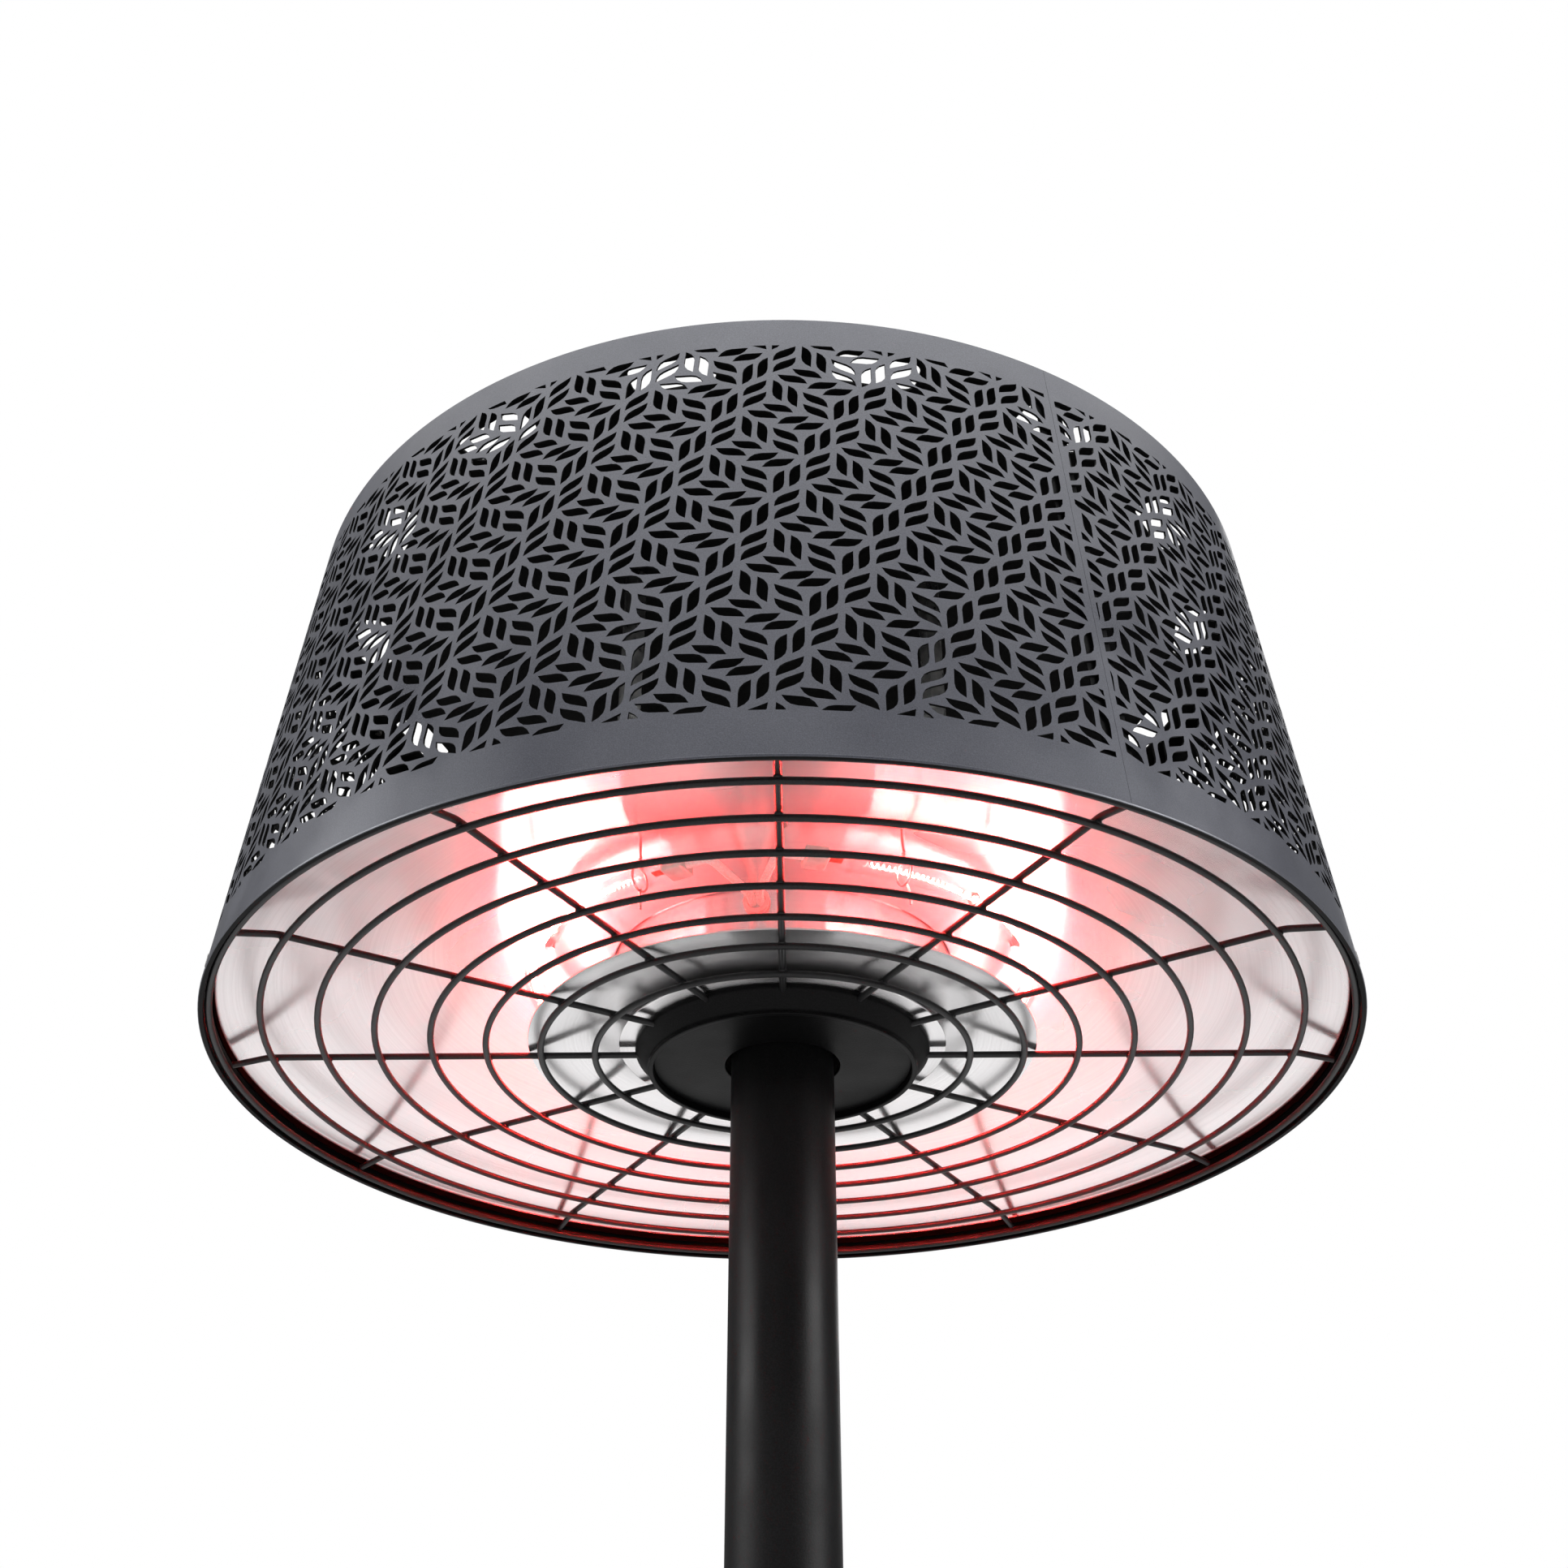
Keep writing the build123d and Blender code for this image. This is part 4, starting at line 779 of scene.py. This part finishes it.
arc_tree, given = grower("wire_on_arc", ("Circle Radius", "Height", "First Angle", "Last Angle",
                                         "Coil Radius", "Turns", "Wire Radius"), ("Steps", "Wire Sides"))
line = put(arc_tree, "GeometryNodeCurvePrimitiveLine")
fine = put(arc_tree, "GeometryNodeResampleCurve", {"Curve": line, "Count": given["Steps"]})
share = put(arc_tree, "GeometryNodeSplineParameter").outputs["Factor"]
angle = plus(times(share, less(given["Last Angle"], given["First Angle"])), given["First Angle"])
wind = times(times(share, given["Turns"]), 2 * math.pi)
out = plus(given["Circle Radius"], times(given["Coil Radius"], sum_of("COSINE", wind)))
up = plus(given["Height"], times(given["Coil Radius"], sum_of("SINE", wind)))
route = point_of(arc_tree, times(out, sum_of("SINE", angle)),
                 times(times(out, sum_of("COSINE", angle)), -1.0), up)
wound = put(arc_tree, "GeometryNodeSetPosition", {"Geometry": fine, "Position": route})
profile = put(arc_tree, "GeometryNodeCurvePrimitiveCircle", {
    "Resolution": given["Wire Sides"], "Radius": given["Wire Radius"]})
body = put(arc_tree, "GeometryNodeCurveToMesh", {
    "Curve": wound, "Profile Curve": profile, "Fill Caps": True})
close_tree(arc_tree, given, body)

quartz, quartz_nodes, _, quartz_where = new_finish("clear_quartz")
veil = level(quartz_nodes, cloud(quartz_nodes, quartz_where, 40.0, 3.0), 0.0, 1.0)
clear = put(quartz_nodes, "ShaderNodeBsdfTransparent", {
    "Color": blended(quartz_nodes, veil, (0.95, 0.94, 0.94), (0.99, 0.985, 0.985))})
shine = put(quartz_nodes, "ShaderNodeBsdfGlossy", {
    "Color": white,
    "Roughness": level(quartz_nodes, cloud(quartz_nodes, quartz_where, 90.0, 3.0), 0.03, 0.12)})
edge_on = times(put(quartz_nodes, "ShaderNodeFresnel", {"IOR": 1.46}).outputs[0], 0.35)
glassy = put(quartz_nodes, "ShaderNodeMixShader", {0: edge_on, 1: clear, 2: shine})
fill(quartz_nodes.nodes["Material Output"], {"Surface": glassy})

ember, ember_nodes, ember_face, ember_where = new_finish("glowing_filament")
ember_strength = 1800.0
heat = level(ember_nodes, cloud(ember_nodes, ember_where, 60.0, 2.0), 0.0, 1.0)
fill(ember_face, {
    "Base Color": (0.30, 0.10, 0.05, 1.0), "Emission Strength": ember_strength,
    "Emission Color": blended(ember_nodes, heat, (1.0, 0.020, 0.018), (1.0, 0.036, 0.032))})

arc = {"Circle Radius": lamp_circle * MM, "Height": (RIM + lamp_height) * MM}
nothing = flat_shapes("arc_start", [])
tube_mesh = grown("quartz_ring", arc_tree, nothing, {
    **arc, "First Angle": math.radians(lamp_first), "Last Angle": math.radians(lamp_last),
    "Steps": 220, "Wire Radius": lamp_tube * MM, "Wire Sides": 28, "Finish": quartz})
coil_margin = math.degrees(10.0 / lamp_circle)
coil_mesh = grown("filament_coil", arc_tree, nothing.copy(), {
    **arc, "First Angle": math.radians(lamp_first + coil_margin),
    "Last Angle": math.radians(lamp_last - coil_margin), "Coil Radius": 0.95 * MM, "Turns": 230.0,
    "Steps": 2760, "Wire Radius": 0.32 * MM, "Wire Sides": 5, "Finish": ember})


def lamp_end(angle, side):
    """Matrix at a lamp end: first way on past the end, second away from the pole, third up."""
    origin = at(angle, lamp_circle, lamp_height)
    outward = Vector((origin.x, origin.y, 0)).normalized()
    onward = Vector((-outward.y, outward.x, 0)) * side
    frame_at = Matrix((onward, outward, Vector((0, 0, 1)))).transposed().to_4x4()
    frame_at.translation = origin
    return frame_at


def pinched_seal(name, place):
    """Tube end pressed flat: round where it leaves the ring, a thin rounded bar at its tip."""
    steps = ((-1.0, 5.0, 5.0, 2.0), (0.5, 5.3, 5.2, 2.0), (2.5, 5.1, 3.6, 2.4), (4.0, 4.6, 2.0, 3.0),
             (5.5, 4.3, 1.3, 4.0), (seal_reach - 0.4, 4.3, 1.3, 4.0), (seal_reach, 4.0, 1.0, 4.0))
    sides = 28
    points = []
    for along, half_wide, half_high, square in steps:
        for k in range(sides):
            a = 2 * math.pi * k / sides
            c, s = math.cos(a), math.sin(a)
            points.append(place @ (Vector((along, half_wide * math.copysign(abs(c) ** (2 / square), c),
                                           half_high * math.copysign(abs(s) ** (2 / square), s))) * MM))
    faces = [tuple(range(sides))[::-1], tuple(range((len(steps) - 1) * sides, len(steps) * sides))]
    for i in range(len(steps) - 1):
        for k in range(sides):
            n = (k + 1) % sides
            faces.append((i * sides + k, i * sides + n, (i + 1) * sides + n, (i + 1) * sides + k))
    mesh = bpy.data.meshes.new(name)
    mesh.from_pydata(points, [], faces)
    return mesh


def outward_faces(mesh):
    """Turns every face of closed shapes outwards."""
    shape = bmesh.new()
    shape.from_mesh(mesh)
    bmesh.ops.recalc_face_normals(shape, faces=shape.faces)
    shape.to_mesh(mesh)
    shape.free()
    return mesh


def slab(name, place, middle, size, round_off):
    """Block with rounded edges at a lamp end, its middle and size in mm."""
    mesh = bpy.data.meshes.new(name)
    shape = bmesh.new()
    bmesh.ops.create_cube(shape, size=1.0)
    for vert in shape.verts:
        vert.co = Vector(middle) + Vector((vert.co.x * size[0], vert.co.y * size[1], vert.co.z * size[2]))
    bmesh.ops.bevel(shape, geom=shape.edges[:], offset=round_off, segments=3, affect="EDGES", profile=0.5)
    for vert in shape.verts:
        vert.co = place @ (vert.co * MM)
    bmesh.ops.recalc_face_normals(shape, faces=shape.faces)
    shape.to_mesh(mesh)
    shape.free()
    return mesh


right_end = lamp_end(lamp_first, -1)
left_end = lamp_end(lamp_last, 1)
quartz_mesh = joined("quartz_lamp", tube_mesh, pinched_seal("seal_right", right_end),
                     pinched_seal("seal_left", left_end))
show("quartz_lamp", outward_faces(quartz_mesh), quartz, slot="quartz_glass", stands_for=("quartz_tube",))
show("filament_coil", coil_mesh, slot="hot_filament", stands_for=("filament",), crease=80)

# The seal foils get a faint red emission of their own: a painted glow, as they are no lamp.
foil = toned("seal_foil", (0.30, 0.12, 0.10), (0.52, 0.26, 0.22), 400.0, 3.0, 0.45, metal=0.8)
fill(foil.node_tree.nodes["Principled BSDF"], {
    "Emission Color": (1.0, 0.22, 0.14, 1.0), "Emission Strength": 0.12})
foil_mesh = joined("foils", *[slab("foil", end, (7.0, 0.0, 0.0), (8.0, 4.2, 0.3), 0.1)
                              for end in (right_end, left_end)])
show("seal_foils", foil_mesh, foil, slot="molybdenum")

molybdenum = toned("molybdenum_wire", (0.30, 0.27, 0.26), (0.50, 0.45, 0.43), 500.0, 3.0, 0.4, metal=1.0)
dress(molybdenum, "filament_supports")

ceramic = toned("dry_pressed_ceramic", (0.66, 0.63, 0.59), (0.80, 0.78, 0.74), 220.0, 5.0, 0.62,
                bump=(900.0, 3.0, 0.08))
caps = [slab("cap", end, (15.5, 0.0, 0.0), (11.0, 12.0, 6.5), 1.2) for end in (right_end, left_end)]
show("lamp_end_caps", joined("caps", *caps), ceramic, slot="white_ceramic", stands_for=("lamp_ceramics",))
dress(ceramic, "lead_grommet")


def wires(name, routes, thickness):
    """Round wires along routes of points in metres, closed at their ends."""
    line = bpy.data.curves.new(name, "CURVE")
    line.dimensions = "3D"
    line.bevel_depth = thickness / 2 * MM
    line.bevel_resolution = 3
    line.use_fill_caps = True
    for route in routes:
        spline = line.splines.new("NURBS")
        spline.points.add(len(route) - 1)
        for point, place in zip(spline.points, route):
            point.co = (*place, 1.0)
        spline.use_endpoint_u = True
        spline.order_u = 3
        spline.resolution_u = 6
    return outward_faces(settled(placed(name, line)))


clip_routes = []
clip_wire = 1.2
clip_eye = lamp_tube + clip_wire
for clip_angle in (26.5, 118.0, 220.0, 328.5):
    eye = []
    for k in range(26):
        a = math.radians(90 + 380 * k / 25)
        eye.append(at(clip_angle + 0.5 * (k / 25 - 0.5), lamp_circle + clip_eye * math.cos(a),
                      lamp_height + clip_eye * math.sin(a)))
    stem = [at(clip_angle - 0.25, lamp_circle, 75.0), at(clip_angle - 0.25, lamp_circle, 60.0)]
    twist = [at(clip_angle + 0.4 * math.cos(k * 2.1), lamp_circle + 1.0 * math.sin(k * 2.1),
                lamp_height + clip_eye + 4.5 - k * 0.45) for k in range(9)]
    tail = [at(clip_angle + 0.6, lamp_circle + 1.5, lamp_height - clip_eye - 1.0),
            at(clip_angle + 0.9, lamp_circle + 1.0, lamp_height - clip_eye - 10.5)]
    clip_routes.append(stem + twist + eye)
    clip_routes.append([at(clip_angle + 0.3, lamp_circle - 0.5, lamp_height - clip_eye + 0.4)] + tail)
show("lamp_wire_clips", wires("lamp_wire_clips", clip_routes, clip_wire), steel_finish, slot="zinc_steel",
     stands_for=("lamp_clips",), crease=60)

# The sleeves' faint red emission is painted lamp light, making them look lit by the filament.
sleeve, sleeve_nodes, sleeve_face, sleeve_where = new_finish("braided_fibre_sleeve")
braid = put(sleeve_nodes, "ShaderNodeTexVoronoi", {"Vector": sleeve_where, "Scale": 1300.0})
threads = level(sleeve_nodes, braid.outputs["Distance"], 0.0, 1.0, 0.1, 0.6)
fill(sleeve_face, {
    "Base Color": blended(sleeve_nodes, threads, (0.86, 0.83, 0.80), (0.62, 0.58, 0.55)),
    "Roughness": 0.85, "Emission Color": (1.0, 0.30, 0.28, 1.0), "Emission Strength": 0.35})
relief(sleeve_nodes, sleeve_face, braid.outputs["Distance"], 0.25)
lead_angle = -8.0
lead_aside = 2.05
lead_thickness = 4.0
lead_routes = []
for end, side in ((right_end, -1), (left_end, 1)):
    start = end @ (Vector((20.5, 0, 0)) * MM)
    ahead = end @ (Vector((33.0, 0, 0)) * MM)
    aside = Matrix.Rotation(math.radians(lead_angle), 3, "Z") @ Vector((-side * lead_aside * MM, 0, 0))
    outer = at(lead_angle, 93.0, lamp_height) + aside
    inner = at(lead_angle, 76.0, lamp_height) + aside
    lead_routes.append([start, start.lerp(ahead, 0.5), ahead, ahead.lerp(outer, 0.5), outer,
                        outer.lerp(inner, 0.5), inner])
show("fibre_sleeved_leads", wires("fibre_sleeved_leads", lead_routes, lead_thickness), sleeve,
     slot="fibre_sleeve", stands_for=("lead_sleeves",), crease=60)


# ---- guard ----------------------------------------------------------------------------------
# A welded steel-wire guard in black coat: twelve spokes from the hub, bent down to an outer
# ring inside the hem, and seven rings resistance-welded under them.
wire_coat = powder_coat("black_wire_coat", (0.005, 0.005, 0.0053), (0.012, 0.012, 0.0127), 0.36, sheen=0.22)
first_ring = 91.4
ring_pitch = 26.1667
weld_bead = 1.7
guard_wire = 3.2
outer_wire = 3.4
spoke_height = 9.6
spoke_end_above = 2.8
ring_height = spoke_height - guard_wire + 0.4
outer_height = 2.9
outer_radius = 270.6
spoke_start = 69.5
spoke_bend = 251.5
bend_radius = 20.0
spoke_end = 268.9
spoke_turn = -0.6
guard_tree, given = grower("welded_guard", ("Spoke Turn", "First Ring", "Ring Pitch", "Ring Height",
                                            "Weld Height", "Wire Radius", "Bead Radius"),
                           ("Spokes", "Rings"))
hub_ring = put(guard_tree, "GeometryNodeMeshCircle", {"Vertices": given["Spokes"], "Radius": 0.001})
order = put(guard_tree, "GeometryNodeInputIndex").outputs[0]
turn = plus(given["Spoke Turn"], times(over(order, given["Spokes"]), 2 * math.pi))
facing = point_of(guard_tree, z=turn)
centred = put(guard_tree, "GeometryNodeSetPosition", {
    "Geometry": hub_ring, "Position": (0.0, 0.0, 0.0)})
spoke_line = put(guard_tree, "GeometryNodeMeshToCurve", {"Mesh": given["Start"]})
spoke_bent = put(guard_tree, "GeometryNodeFilletCurve", {
    "Curve": spoke_line, "Count": 6, "Radius": bend_radius * MM}, mode="POLY")
spokes = put(guard_tree, "GeometryNodeInstanceOnPoints", {
    "Points": centred, "Instance": spoke_bent, "Rotation": facing})
steps = put(guard_tree, "GeometryNodeMeshLine", {
    "Count": given["Rings"], "Start Location": (0.0, 0.0, 0.0), "Offset": (0.0, 0.0, 0.0)})
ring_radius = plus(given["First Ring"], times(order, given["Ring Pitch"]))
one_ring = put(guard_tree, "GeometryNodeCurvePrimitiveCircle", {"Resolution": 144, "Radius": 1.0})
ring_scale = point_of(guard_tree, ring_radius, ring_radius, 1.0)
ring_place = put(guard_tree, "GeometryNodeSetPosition", {
    "Geometry": steps, "Position": point_of(guard_tree, z=given["Ring Height"])})
rings = put(guard_tree, "GeometryNodeInstanceOnPoints", {
    "Points": ring_place, "Instance": one_ring, "Scale": ring_scale})
wire_lines = put(guard_tree, "GeometryNodeJoinGeometry", {"Geometry": rings})
fill(wire_lines, {"Geometry": spokes})
real_lines = put(guard_tree, "GeometryNodeRealizeInstances", {"Geometry": wire_lines})
wire_round = put(guard_tree, "GeometryNodeCurvePrimitiveCircle", {
    "Resolution": 14, "Radius": given["Wire Radius"]})
wire_body = put(guard_tree, "GeometryNodeCurveToMesh", {
    "Curve": real_lines, "Profile Curve": wire_round, "Fill Caps": True})
weld_place = point_of(guard_tree, y=times(ring_radius, -1.0), z=given["Weld Height"])
weld_row = put(guard_tree, "GeometryNodeSetPosition", {"Geometry": steps, "Position": weld_place})
bead = put(guard_tree, "GeometryNodeMeshUVSphere", {
    "Segments": 8, "Rings": 6, "Radius": given["Bead Radius"]})
bead_row = put(guard_tree, "GeometryNodeInstanceOnPoints", {
    "Points": weld_row, "Instance": bead, "Scale": (1.25, 1.25, 0.8)})
bead_rows = put(guard_tree, "GeometryNodeInstanceOnPoints", {
    "Points": centred, "Instance": bead_row, "Rotation": facing})
guard_parts = put(guard_tree, "GeometryNodeJoinGeometry", {"Geometry": wire_body})
fill(guard_parts, {"Geometry": bead_rows})
close_tree(guard_tree, given, guard_parts)

spoke_points = [at(0, spoke_start, spoke_height), at(0, spoke_bend, spoke_height),
                at(0, spoke_end, outer_height + spoke_end_above)]
spoke_path = bpy.data.meshes.new("spoke_path")
spoke_path.from_pydata(spoke_points, [(0, 1), (1, 2)], [])
guard_mesh = grown("guard_wires", guard_tree, spoke_path, {
    "Spokes": 12, "Spoke Turn": math.radians(spoke_turn), "Rings": 7, "First Ring": first_ring * MM,
    "Ring Pitch": ring_pitch * MM, "Ring Height": (RIM + ring_height) * MM,
    "Weld Height": (RIM + (spoke_height + ring_height) / 2) * MM, "Wire Radius": guard_wire / 2 * MM,
    "Bead Radius": weld_bead * MM, "Finish": wire_coat})
section_turns = [2 * math.pi * k / 14 for k in range(14)]
round_section = [(outer_radius + outer_wire / 2 * math.cos(a), outer_height + outer_wire / 2 * math.sin(a))
                 for a in section_turns]
outer_mesh = turned("guard_outer_ring", round_section, 192, RIM)
show("round_wire_guard", joined("round_wire_guard", guard_mesh, outer_mesh), wire_coat, slot="black_coat",
     stands_for=("wire_guard",), crease=50)
